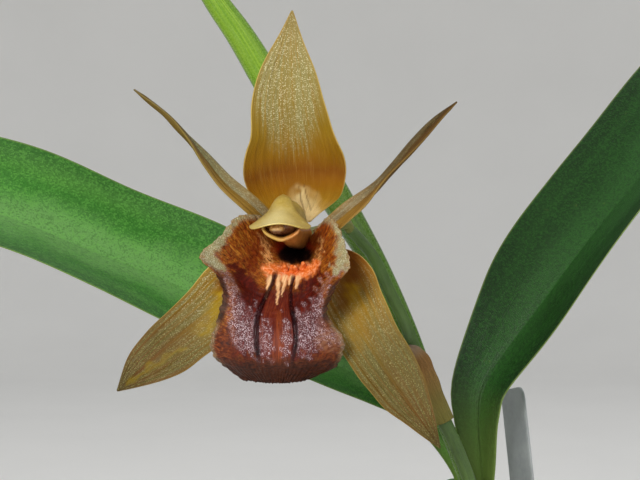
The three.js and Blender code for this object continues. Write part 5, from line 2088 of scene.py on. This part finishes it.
@dataclass
class Lip:
    """The lip, from its foot in the throat to the tip of its middle lobe.

    Each row holds the left margin, the middle and the right margin. rise and reach bend the section
    between them. Zones of colour are placed in the photograph's frame.
    """

    left: tuple[Point, ...] = (
        (-6.2, 16.5, -0.5), (-11.5, 9, 4.6), (-15, 3.2, 5.4), (-17.8, -0.5, 4.6), (-20.6, -5, 0.8), (-24.4, -10, -3.2),
        (-21.6, -7.4, -6.6), (-20.2, -3.6, -11.2), (-21.2, -2.6, -16), (-22.8, -2.2, -21.4), (-20.8, 0, -26.2),
        (-16.4, 2.2, -29.2),
    )
    middle: tuple[Point, ...] = (
        (-4.6, 16.6, -2.2), (-5.1, 14.5, -3.2), (-5.5, 10, -5), (-6.2, 6.5, -7.4), (-7, 4, -9.6), (-7.6, 2, -12),
        (-8.2, 0, -14.3), (-8.6, -2.4, -16.6), (-8.8, -4.6, -19.4), (-8.9, -5.4, -22.8), (-8.9, -4.2, -26.6),
        (-9, -1.2, -29.8),
    )
    right: tuple[Point, ...] = (
        (-3, 16.5, -0.5), (0.4, 9, 3.8), (1.8, 4, 4.8), (3.4, 0.5, 3.6), (4.8, -3.6, 0.2), (6.1, -8.4, -5.2),
        (4.2, -6, -8), (2.2, -2.8, -12), (1.8, -1.6, -16.2), (5.2, -1, -21.6), (3.6, 0.8, -26), (-0.6, 2.2, -29),
    )
    rise: tuple[float, ...] = (2, 2.2, 2.2, 2, 1.8, 1.6, 1.6, 1.6, 1.6, 1.8, 2, 2)
    reach: tuple[float, ...] = (1.6, 1.4, 1.4, 1.6, 1.8, 2, 2.2, 2.2, 2.2, 2.2, 2.2, 2.2)
    gutter: tuple[float, ...] = (0, 0, 0.6, 1.6, 2.2, 2, 1.2, 0.4, 0, 0, 0, 0)
    keel_left: tuple[float, ...] = (0.2, 0.22, 0.25, 0.27, 0.22, 0.21, 0.29, 0.37, 0.356, 0.29, 0.286, 0.27)
    keel_right: tuple[float, ...] = (0.09, 0.09, 0.09, 0.09, 0.08, 0.1, 0.17, 0.28, 0.35, 0.25, 0.22, 0.2)
    keel_height: tuple[float, ...] = (0, 0, 0.15, 0.3, 0.4, 0.5, 0.7, 0.8, 0.75, 0.5, 0.05, 0)
    keel_half: float = 0.015
    ridge_height: float = 0.45
    keel_column: float = 0.26
    papillae: tuple[float, ...] = (-0.13, 0.01, 0.2, 0.4)
    papilla_row: float = 0.25
    papilla_grid: tuple[int, int] = (12, 18)
    rows: int = 176
    columns: int = 128

    def at(self, s: Array, b: Array) -> Array:
        """The lip's middle surface, where the columns b are so spaced that the keels stay on two of them.

        Args:
            s: Shares of the length.
            b: Columns.

        Returns:
            The points.
        """
        keel_at = np.where(b < 0, spline(self.keel_left, s), spline(self.keel_right, s))
        column, reach = self.keel_column, np.abs(b)
        beyond = (reach - column) / (1 - column)
        far = np.where(beyond < 0, reach * keel_at / column, keel_at + beyond * (1 - keel_at))
        middle = spline(self.middle, s)
        edge = np.where((b < 0)[..., None], spline(self.left, s), spline(self.right, s)) - middle
        gutter = spline(self.gutter, s) * bell(far, 0.52, 0.2)
        crest = 1 + 0.12 * np.sin(2 * np.pi * 9 * s + b)
        half = self.keel_half * (0.7 + 0.8 * smooth(s, 0.4, 0.65))
        keel = spline(self.keel_height, s) * bell(far, keel_at, half) * crest
        teeth = far**6 * 0.14 * np.sin(2 * np.pi * 22 * s) * (1 - 0.6 * bell(s, 0.455, 0.05))
        fringe = np.maximum(s - 0.9, 0) * 0.9 * np.sin(2 * np.pi * 11 * b)
        x = middle[..., 0] + edge[..., 0] * far + np.sign(b) * teeth
        y = middle[..., 1] + edge[..., 1] * far ** spline(self.reach, s) + gutter - keel
        z = middle[..., 2] + edge[..., 2] * far ** spline(self.rise, s) + teeth * 0.3 + fringe
        return np.stack([x, y, z], -1)

    def frayed(self, s: Array, b: Array) -> Array:
        """The surface with a finer torn fringe: each margin point shifts by small quick sines.

        Args:
            s: Shares of the length.
            b: Columns.

        Returns:
            The points.
        """
        base = self.at(s, b)
        tip = smooth(s, 0.9, 1)[..., None]
        side = (np.abs(b) ** 8)[..., None]
        quick = np.sin(2 * np.pi * 45 * s + 2 * np.sin(31 * s))[..., None] * side * 0.1
        comb = np.sin(2 * np.pi * 25 * b + 1.5 * np.sin(17 * b))[..., None] * tip**3 * 0.07
        return base + quick * [1, 0, 0] * np.sign(b)[..., None] + comb * [0, 0, 1]

    def relief(self, s: Array, b: Array) -> Array:
        """Ribs and waves in the lobes' margins, low warts between, folds at the tip and the throat's ridge.

        Args:
            s: Shares of the length.
            b: Columns.

        Returns:
            The height.
        """
        reach = np.abs(b)
        spread = smooth(reach, 0.35, 0.7)
        ribs = 0.035 * np.sin(2 * np.pi * 34 * s + 3 * reach + 2 * np.sin(9 * s)) * spread
        waves = 0.3 * np.sin(2 * np.pi * 6.5 * s + 1.7 * b) * smooth(reach, 0.6, 1) * smooth(s, 0.5, 0.65)
        warts = 0.04 * ripple(np.stack([s * 60, b * 30], -1), 3, 8)
        folds = 0.06 * np.sin(2 * np.pi * 15 * b) * smooth(s, 0.82, 0.98)
        lumps = 0.75 + 0.25 * np.cos(2 * np.pi * 4.7 * b + 0.4)
        ridge = self.ridge_height * bell(s, 0.31, 0.03) * (1 - smooth(reach, 0.3, 0.5)) * lumps
        return ribs + waves + warts + folds + ridge

    def thick(self, s: Array, b: Array) -> Array:
        """The lip's thickness, which thins towards the margins and the tip."""
        return TEPAL_THICK * (1 - 0.4 * smooth(np.abs(b), 0.6, 1)) * (1 - 0.45 * smooth(s, 0.85, 1))

    def zones(self, points: Array, place: Array) -> dict[str, Array]:
        """How much of each colour zone lies at each point.

        Args:
            points: The lip's points about the bloom's middle.
            place: Their place marks.

        Returns:
            A share from 0 to 1 for each zone.
        """
        px, py = seen_at(points)
        s, b, layer = place.T
        seen = np.stack([px, py], -1)
        jag = 5 * ripple(seen, 11, 2) + 2.5 * ripple(seen, 4, 3)
        x, y = px + jag * 0.5, py + jag
        near = px + 0.6 * ripple(seen, 7, 12)
        # Painted sheen: the lilac bands
        lilac = np.maximum.reduce([near_line(x, y, line) for line in LILAC_SHEEN_BANDS])
        # Painted sheen: the frost bands at the side lobes' corners
        frost = np.maximum.reduce([near_line(px + jag * 0.5, py + jag * 0.3, line, 0.1) for line in FROST_SHEEN_BANDS])
        frost = np.maximum(frost, 0.6 * smooth(np.abs(b), 0.93, 0.985) * (1 - smooth(s, 0.45, 0.55)))
        frost = np.maximum(frost, 0.3 * smooth(np.abs(b), 0.9, 0.98) * smooth(s, 0.6, 0.7))
        inside = 1 - smooth(np.abs(b), self.keel_column - 0.03, self.keel_column)
        panel = smooth(py + 0.5 * jag, 283, 300) * inside * (1 - smooth(py, 350, 368))
        wine = np.maximum.reduce([near_line(x, y, line) for line in WINE_BANDS])
        middle = 1 - smooth(np.abs(px - 278), 36, 54)
        wine = np.maximum(wine, smooth(py, 280, 296) * middle * (1 - smooth(py + jag, 352, 372)))
        rust = smooth(y, 316, 334) * np.maximum(smooth(np.abs(x - 279), 36, 48), smooth(y, 354, 368))
        ridge = near_line(px, py + 0.3 * jag, SALMON_RIDGE)
        cream = np.maximum.reduce([near_line(near, py, line) for line in CREAM_STREAKS])
        peach = np.maximum.reduce([near_line(x, y, line) for line in PEACH_BANDS])
        flames = 3.5 * np.abs(np.sin((px - 282) * np.pi / 9.5)) * smooth(py, 256, 262)
        # The throat's near-black is partly its dark maroon and partly painted shade deep in the tube
        hollow = in_oval(px, py + flames + jag * 0.15, (295, 255), (18, 11), 0.22)
        maw = in_oval(px, py, (294, 247), (20, 10), 0.3)
        width = 0.006 + 0.008 * smooth(s, 0.4, 0.65)
        keel = bell(np.abs(b), self.keel_column, width) * smooth(s, 0.28, 0.33) * (1 - smooth(s, 0.84, 0.9))
        ember = near_line(near, py, [(279, 312, 4), (279, 345, 9), (279, 372, 12)], 0.0)
        russet = np.maximum.reduce([near_line(x, y, line, 0.1) for line in RUSSET_BANDS])
        # Painted shade: the margins at the waist and the tip, which curl away from the light
        shaded_waist = smooth(np.abs(b), 0.82, 0.92) * smooth(s, 0.5, 0.56) * (1 - smooth(s, 0.72, 0.78))
        shade = 0.9 * np.maximum(smooth(py + 0.4 * jag, 353, 368), shaded_waist)
        fold = np.sin(2 * np.pi * (py + 0.2 * (px - 330) + 1.5 * ripple(seen, 9, 5)) / 4.6)
        fold = in_oval(px, py, (331, 340), (16, 12)) * (0.5 + 0.5 * fold)
        shares = {"lilac": lilac, "panel": panel, "wine": wine, "rust": rust, "salmon": ridge, "cream": cream}
        shares |= {"throat": hollow, "frost": frost, "keel": keel, "ember": ember, "peach": peach}
        shares |= {"russet": russet, "shade": shade, "fold": fold, "maw": maw}
        shown = layer > 0.5
        return {name: np.clip(share, 0, 1) * (shown if name != "rust" else 1) for name, share in shares.items()}

    def papilla(self, column: float, k: int) -> Shape:
        """One of the soft horns in the throat: a short cone with a round tip.

        Args:
            column: The column that it stands on.
            k: Its number.

        Returns:
            The horn.
        """
        root = self.at(np.array(self.papilla_row), np.array(column))
        tip = root + [0.15 * column, -2.1, 0.9 + 0.2 * (k % 2)]
        horn = rod([root + [0, 0.3, -0.2], (root + tip) / 2 + [0, -0.1, 0.15], tip],
                   lambda s, t: 0.95 - 0.5 * s + 0.05 * np.sin(7 * s + t), *self.papilla_grid, dome=1.0)
        n = len(horn.points)
        horn.marks["salmon"] = np.ones(n)
        horn.marks["place"] = np.tile([self.papilla_row, column, 1.0], (n, 1))
        return horn

    def build(self) -> None:
        """Makes the lip."""
        close = np.concatenate([np.linspace(0.2, 0.235, 5), np.linspace(0.24, 0.28, 17), np.linspace(0.285, 0.32, 5)])
        columns = np.unique(np.round(np.concatenate([spaced(self.columns, 0.3), close, -close]), 5))
        body = sheet(self.frayed, np.linspace(0, 1, self.rows), columns, self.thick, front=-1, relief=self.relief)
        body.marks |= self.zones(body.points, body.marks["place"])
        horns = [self.papilla(column, k) for k, column in enumerate(self.papillae)]
        whole = Shape.joined([body, *horns]).moved(BLOOM_AT)
        piece("lip_blade", whole, LipFinish().material(), "lip")


@dataclass
class Column:
    """The column: a rod arched over the lip, a hood flared into two wings, the stigma's rim and the anther."""

    hood_at: tuple[Point, ...] = (
        (-7.8, 3.8, 9.35), (-7.8, 3.1, 8.7), (-7.85, 2.1, 7.3), (-7.9, 1, 5.7), (-8.1, -1, 4.1), (-8.3, -2.8, 2.8),
    )
    hood_wide: tuple[float, ...] = (0.08, 1.25, 2.1, 3, 4.7, 6.4)
    hood_deep: tuple[float, ...] = (0.08, 1.4, 2.7, 4, 5.4, 6.4)
    hood_arc: float = 100
    hood_grid: tuple[int, int] = (90, 101)
    stigma_arc: float = 80
    stigma_grid: tuple[int, int] = (40, 71)
    arch_grid: tuple[int, int] = (60, 40)
    foot_grid: tuple[int, int] = (40, 40)
    cap_grid: tuple[int, int] = (36, 56)
    cavity_grid: tuple[int, int] = (20, 32)
    cap_at: Point = (-8.9, -5.3, 2.35)
    cap_size: Point = (1.6, 1.7, 1.25)
    cavity_at: Point = (-8, -1.2, 3.1)
    cavity_size: Point = (3.5, 4.6, 2.3)

    def hood(self, s: Array, a: Array) -> Array:
        """The hood: at + (wide sin t, -deep cos t, notch), with t = arc a and a notch of 0.5 s^4 cos 3t.

        Args:
            s: Shares of the length.
            a: Places across.

        Returns:
            The points.
        """
        at = spline(self.hood_at, s)
        angle = np.radians(self.hood_arc * a)
        notch = 0.5 * s**4 * np.cos(3 * angle)
        across, forward = spline(self.hood_wide, s) * np.sin(angle), spline(self.hood_deep, s) * np.cos(angle)
        return at + np.stack([across, -forward, notch], -1)

    def hood_thick(self, s: Array, a: Array) -> Array:
        """The hood's thickness, which thins towards its brim and wings."""
        return TEPAL_THICK * (1 - 0.6 * smooth(s, 0.75, 1)) * (1 - 0.3 * a * a)

    def stigma_thick(self, s: Array, a: Array) -> Array:
        """The stigma rim's thickness, swollen just behind its front edge."""
        return TEPAL_THICK * (0.7 + 0.35 * bell(s, 0.9, 0.09)) * (1 - 0.5 * smooth(s, 0.97, 1)) * (1 - 0.3 * a * a)

    def stigma(self, s: Array, a: Array) -> Array:
        """The stigma's rim, a U under the hood that widens forward.

        Args:
            s: Shares of the length.
            a: Places across.

        Returns:
            The points.
        """
        angle = np.radians(self.stigma_arc * a)
        x = -8 + (3.2 + 0.8 * s) * np.sin(angle)
        z = 4.4 - 0.9 * s - (3.1 + 0.1 * s) * np.maximum(np.cos(angle), 0) ** 0.8 - 0.35 * s * bell(a, 0, 0.25)
        return np.stack([x, 3 - 9.2 * s, z], -1)

    def cap(self) -> Shape:
        """The anther cap: a ball with a crease down its middle and a small beak in front.

        Returns:
            The cap.
        """
        ball = globe(*self.cap_grid)
        x, y, z = ball.points.T
        crease = 0.1 * bell(x, 0, 0.18) * smooth(-y, -0.6, 0.5)
        beak = 0.16 * bell(x, 0, 0.4) * smooth(-y, 0.6, 1.0) * smooth(-z, -0.5, 0.3)
        ball.points = ball.points * (1 - crease + beak * 0.4)[:, None] * self.cap_size + self.cap_at
        return ball

    def cavity(self) -> Shape:
        """The hollow's brown floor, a ball stretched to fill the space between the hood and the stigma.

        Returns:
            The ball.
        """
        ball = globe(*self.cavity_grid)
        ball.points = ball.points * self.cavity_size + self.cavity_at
        middle = np.hypot(ball.points[:, 0] + 7.6, ball.points[:, 2] - 1.9)
        ball.marks["amber"] = np.ones(len(ball.points))
        # Painted shade: the hollow's middle is darkened
        ball.marks["brown"] = 1 - smooth(middle, 1.0, 2.6)
        return ball

    def foot(self) -> Shape:
        """The column's foot, a flushed swelling that runs from under the stigma back to the lip's base.

        Returns:
            The foot.
        """
        body = rod([(-7.8, 1.5, 2.9), (-7.2, 5, 2.2), (-6, 10, 1.2), (-4.8, 15.5, 0.9)],
                   lambda s, t: 1.6 + 1.5 * s + 0.12 * np.sin(5 * t), *self.foot_grid)
        body.marks["peach"] = np.ones(len(body.points))
        body.marks["brown"] = 1 - smooth(body.points[:, 2], -2.6, -0.8)
        return body

    def build(self) -> None:
        """Makes the column and the anther cap."""
        arch = rod(
            [(-4.5, 16.6, 2.2), (-4.7, 14, 2.7), (-5.3, 10.5, 4.8), (-6.4, 6, 6.1), (-7.3, 2.5, 6.1), (-7.9, -1, 5)],
            lambda s, t: 1.5 + 0.9 * np.sin(np.pi * 0.9 * s), *self.arch_grid,
        )
        rows, columns = self.hood_grid
        hood = sheet(self.hood, np.linspace(0, 1, rows), spaced(columns, 0.2), self.hood_thick, front=-1)
        rows, columns = self.stigma_grid
        stigma = sheet(self.stigma, np.linspace(0, 1, rows), spaced(columns, 0.2), self.stigma_thick)
        s, a, outside = hood.marks["place"].T
        hood.marks["amber"] = (1 - outside) * (1 - smooth(s, 0.8, 1.0))
        # Painted highlight: pale low on the hood's front, left of its middle
        hood.marks["pale"] = 0.65 * bell(a, -0.12, 0.35) * smooth(s, 0.35, 0.75) * outside
        s, _, outside = stigma.marks["place"].T
        stigma.marks["amber"] = (1 - outside) * (1 - smooth(s, 0.85, 1.0))
        stigma.marks["peach"] = 0.3 + 0.6 * smooth(stigma.points[:, 0], -9.5, -5.5)
        cream = ColumnFinish().material()
        whole = Shape.joined([arch, hood, stigma, self.cavity(), self.foot()]).moved(BLOOM_AT)
        piece("column_hood", whole, cream, "column")
        piece("anther", self.cap().moved(BLOOM_AT), AntherFinish().material(), "anther_cap")


TEPAL_MARKS: dict[str, dict[str, tuple[Band, ...]]] = {
    "dorsal_sepal": {
        "line": (
            ((299, 186, 0.7), (301, 200, 1.1), (305, 214, 1)),
            ((304, 184, 0.6), (307, 198, 0.9), (311, 210, 0.8)),
        ),
        "bright": (((306, 217, 26), (303, 203, 21), (300, 192, 7)),),
    },
    "lateral_sepal_right": {
        # amber is a painted shadow beside the lip
        "amber": (((350, 246, 18), (351, 282, 24), (346, 304, 18)),),
        "bright": (((354, 290, 15), (358, 315, 22), (359, 345, 14)),),
    },
    "lateral_sepal_left": {
        # amber is a painted shadow beside the lip
        "amber": (((224, 282, 12), (217, 298, 10)),),
        "bright": (((219, 298, 12), (214, 318, 14), (204, 334, 12)), ((186, 346, 4), (150, 368, 6), (128, 384, 4))),
    },
}


@dataclass
class Bloom:
    """The open flower: ovary, sepals, petals, lip and column."""

    ovary_size: tuple[float, ...] = (1.25, 1.2, 1.45, 1.9, 2.2, RECEPTACLE_RADIUS)
    ovary_grid: tuple[int, int] = (90, 60)
    tepal_rows: int = 132
    sepal_columns: int = 85
    petal_columns: int = 41
    lip: Lip = field(default_factory=Lip)
    column: Column = field(default_factory=Column)

    def ovary(self, stem: Sequence[Sequence[float]]) -> Shape:
        """The ovary with its stalk: size(s) times its six ribs, 1 + 0.07 sin(pi s) cos(6 angle).

        Args:
            stem: The flower stem's line, in the plant's own frame.

        Returns:
            The solid, about the bloom's middle.
        """
        before, end = (np.asarray(p, float) - BLOOM_AT for p in stem[-2:])
        along = unit(end - before)
        start = end + along * GAP
        x, _, z = RECEPTACLE
        rib = [start, start + along * 2.5, (0.5, 28.5, 2), (-3.2, 25.5, 0.6), (x, 22.5, z), (x, 17.2, z)]

        def radius(s: Array, angle: Array) -> Array:
            """The ovary's radius."""
            return spline(self.ovary_size, s) * (1 + 0.07 * np.sin(np.pi * s) * np.cos(6 * angle))

        body = rod(rib, radius, *self.ovary_grid, dome=FLAT_DOME)
        body.marks["flush"] = 1 - smooth(body.points[:, 1], 18.5, 22)
        return body

    def tepal(self, name: str, blade: Blade) -> Shape:
        """One sepal or petal: its blade, thinner at the margins, with low veins and a slightly uneven edge.

        Args:
            name: Its node's name.
            blade: Its form.

        Returns:
            The solid, with its colour zones as marks.
        """
        narrow = name.startswith("petal")
        seed = sum(map(ord, name))

        def thick(s: Array, a: Array) -> Array:
            """The thickness."""
            return TEPAL_THICK * (1 - 0.2 * a * a) * (1 - 0.5 * smooth(s, 0.93, 1))

        def relief(s: Array, a: Array) -> Array:
            """Veins, the groove along the middle and unevenness.

            Args:
                s: Shares of the length.
                a: Places across.

            Returns:
                The height.
            """
            shown = smooth(s, 0.03, 0.15) * (1 - smooth(s, 0.93, 1))
            veins = 0.05 * np.cos(a * 2 * np.pi * (2.5 if narrow else 5)) + 0.02 * np.cos(a * 2 * np.pi * 10)
            uneven = 0.12 * ripple(np.stack([s * 9, a * 2], -1), 1.8, seed)
            return (veins - 0.16 * bell(a, 0, 0.04) + uneven) * shown

        columns = spaced(self.petal_columns if narrow else self.sepal_columns)
        body = sheet(blade.surface(), np.linspace(0, 1, self.tepal_rows), columns, thick, relief=relief)
        px, py = seen_at(body.points)
        shown = body.marks["place"][:, 2]
        x, y = (p + 3 * ripple(np.stack([px, py], -1), 16, seed + k) for k, p in enumerate((px, py)))
        for mark, bands in TEPAL_MARKS.get(name, {}).items():
            clear = mark == "line"
            core = 0.35 if clear else 0.0
            shares = [near_line(px if clear else x, py if clear else y, band, core) for band in bands]
            body.marks[mark] = np.maximum.reduce(shares) * shown
        return body

    def build(self, stem: FlowerStem) -> None:
        """Makes the bloom on the end of this stem.

        Args:
            stem: The flower stem.
        """
        green = StemFinish("ovary_green", "4A5A20", "8A8A3C", "8A6A34")
        piece("ovary_ribbed", self.ovary(stem.rib()).moved(BLOOM_AT), green.material(), "ovary")
        for name, blade in TEPALS.items():
            shape = self.tepal(name, blade).moved(BLOOM_AT)
            piece(f"{name}_blade", shape, TEPAL_FINISHES[name].material(), name)
        self.lip.build()
        self.column.build()


@dataclass
class Studio:
    """The pale floor that sweeps up to a round backdrop, the soft lights and the camera."""

    flat: float = 1.9
    bend: float = 0.9
    high: float = 1.9
    sides: int = 96
    lens: float = 80.36
    sensor: float = 36.0
    clip: tuple[float, float] = (0.02, 20)
    sky: tuple[float, float, float, float] = (0.95, 0.97, 1, 1)
    sky_strength: float = 0.56
    exposure: float = -0.1

    def floor(self) -> None:
        """A disc with a quarter-round sweep into an upright wall, one turned surface."""
        t = np.linspace(0, np.pi / 2, 24)
        level = np.concatenate([[0.02], np.linspace(0.2, self.flat, 12)])
        r = np.concatenate([level, self.flat + self.bend * np.sin(t[1:]), [self.flat + self.bend]])
        z = np.concatenate([0 * level, self.bend * (1 - np.cos(t[1:])), [self.high]])
        first = np.arange(self.sides)
        angle = first * 2 * np.pi / self.sides
        x, y = r[:, None] * np.cos(angle), r[:, None] * np.sin(angle)
        points = np.stack([x, y, np.repeat(z[:, None], self.sides, 1)], -1)
        tris = np.stack([first, np.roll(first, -1), np.full(self.sides, x.size)], -1)
        flat = np.concatenate([points.reshape(-1, 3), [[0, 0, 0]]]) / MM
        mesh = Shape(flat, grid_quads(len(r), self.sides, wrap=True)[:, ::-1], tris).mesh("floor")
        mesh.materials.append(FloorFinish().material())
        made = bpy.data.objects.new("floor", mesh)
        bpy.context.scene.collection.objects.link(made)

    def light(self, name: str, at: Point, aim: Point, size: float, power: float, tint: Point = (1, 1, 1)) -> None:
        """A square soft light.

        Args:
            name: Its name.
            at: Where it stands, in metres.
            aim: What it points at.
            size: The length of its side.
            power: Its power in watts.
            tint: Its colour.
        """
        lamp = bpy.data.lights.new(name, "AREA")
        lamp.size, lamp.energy, lamp.color = size, power, tint
        made = bpy.data.objects.new(name, lamp)
        made.location = at
        made.rotation_euler = (Vector(aim) - Vector(at)).to_track_quat("-Z", "Y").to_euler()
        bpy.context.scene.collection.objects.link(made)

    def build(self) -> None:
        """Sets the stage, the lights and the camera."""
        self.floor()
        bloom = tuple(BLOOM_AT * MM)
        self.light("key", (-0.33, -1.0, 0.55), bloom, size=0.24, power=11, tint=(1, 0.97, 0.93))
        self.light("fill", (0.9, -0.7, 0.5), (0, 0, 0.17), size=0.8, power=2.5, tint=(0.95, 0.98, 1))
        self.light("above", (0.2, 0.6, 1.5), (0, 0, 0.12), size=1.0, power=5.5)
        world = bpy.data.worlds.new("studio")
        world.use_nodes = True
        back = world.node_tree.nodes["Background"]
        back.inputs[0].default_value, back.inputs[1].default_value = self.sky, self.sky_strength
        bpy.context.scene.world = world
        view = bpy.context.scene.view_settings
        view.view_transform, view.look, view.exposure = "Standard", "None", self.exposure
        camera = bpy.data.cameras.new("camera")
        camera.lens, camera.sensor_width = self.lens, self.sensor
        camera.clip_start, camera.clip_end = self.clip
        made = bpy.data.objects.new("camera", camera)
        made.location, made.rotation_euler = EYE * MM, (np.pi / 2, 0, 0)
        bpy.context.scene.collection.objects.link(made)
        bpy.context.scene.camera = made


def write_size() -> None:
    """Brings the view layer up to date."""
    bpy.context.view_layer.update()


def main() -> None:
    """Builds the orchid and its studio, piece by piece."""
    logging.basicConfig(level=logging.INFO, format="%(name)s %(message)s")
    pot, stem = Pot(), FlowerStem()
    Studio().build()
    pot.build()
    BarkFill().build(pot)
    Rootstock().build()
    NewGrowth().build()
    Foliage().build()
    stem.build()
    PlantLabel().build()
    Bloom().build(stem)
    write_size()


if __name__ == "__main__":
    main()
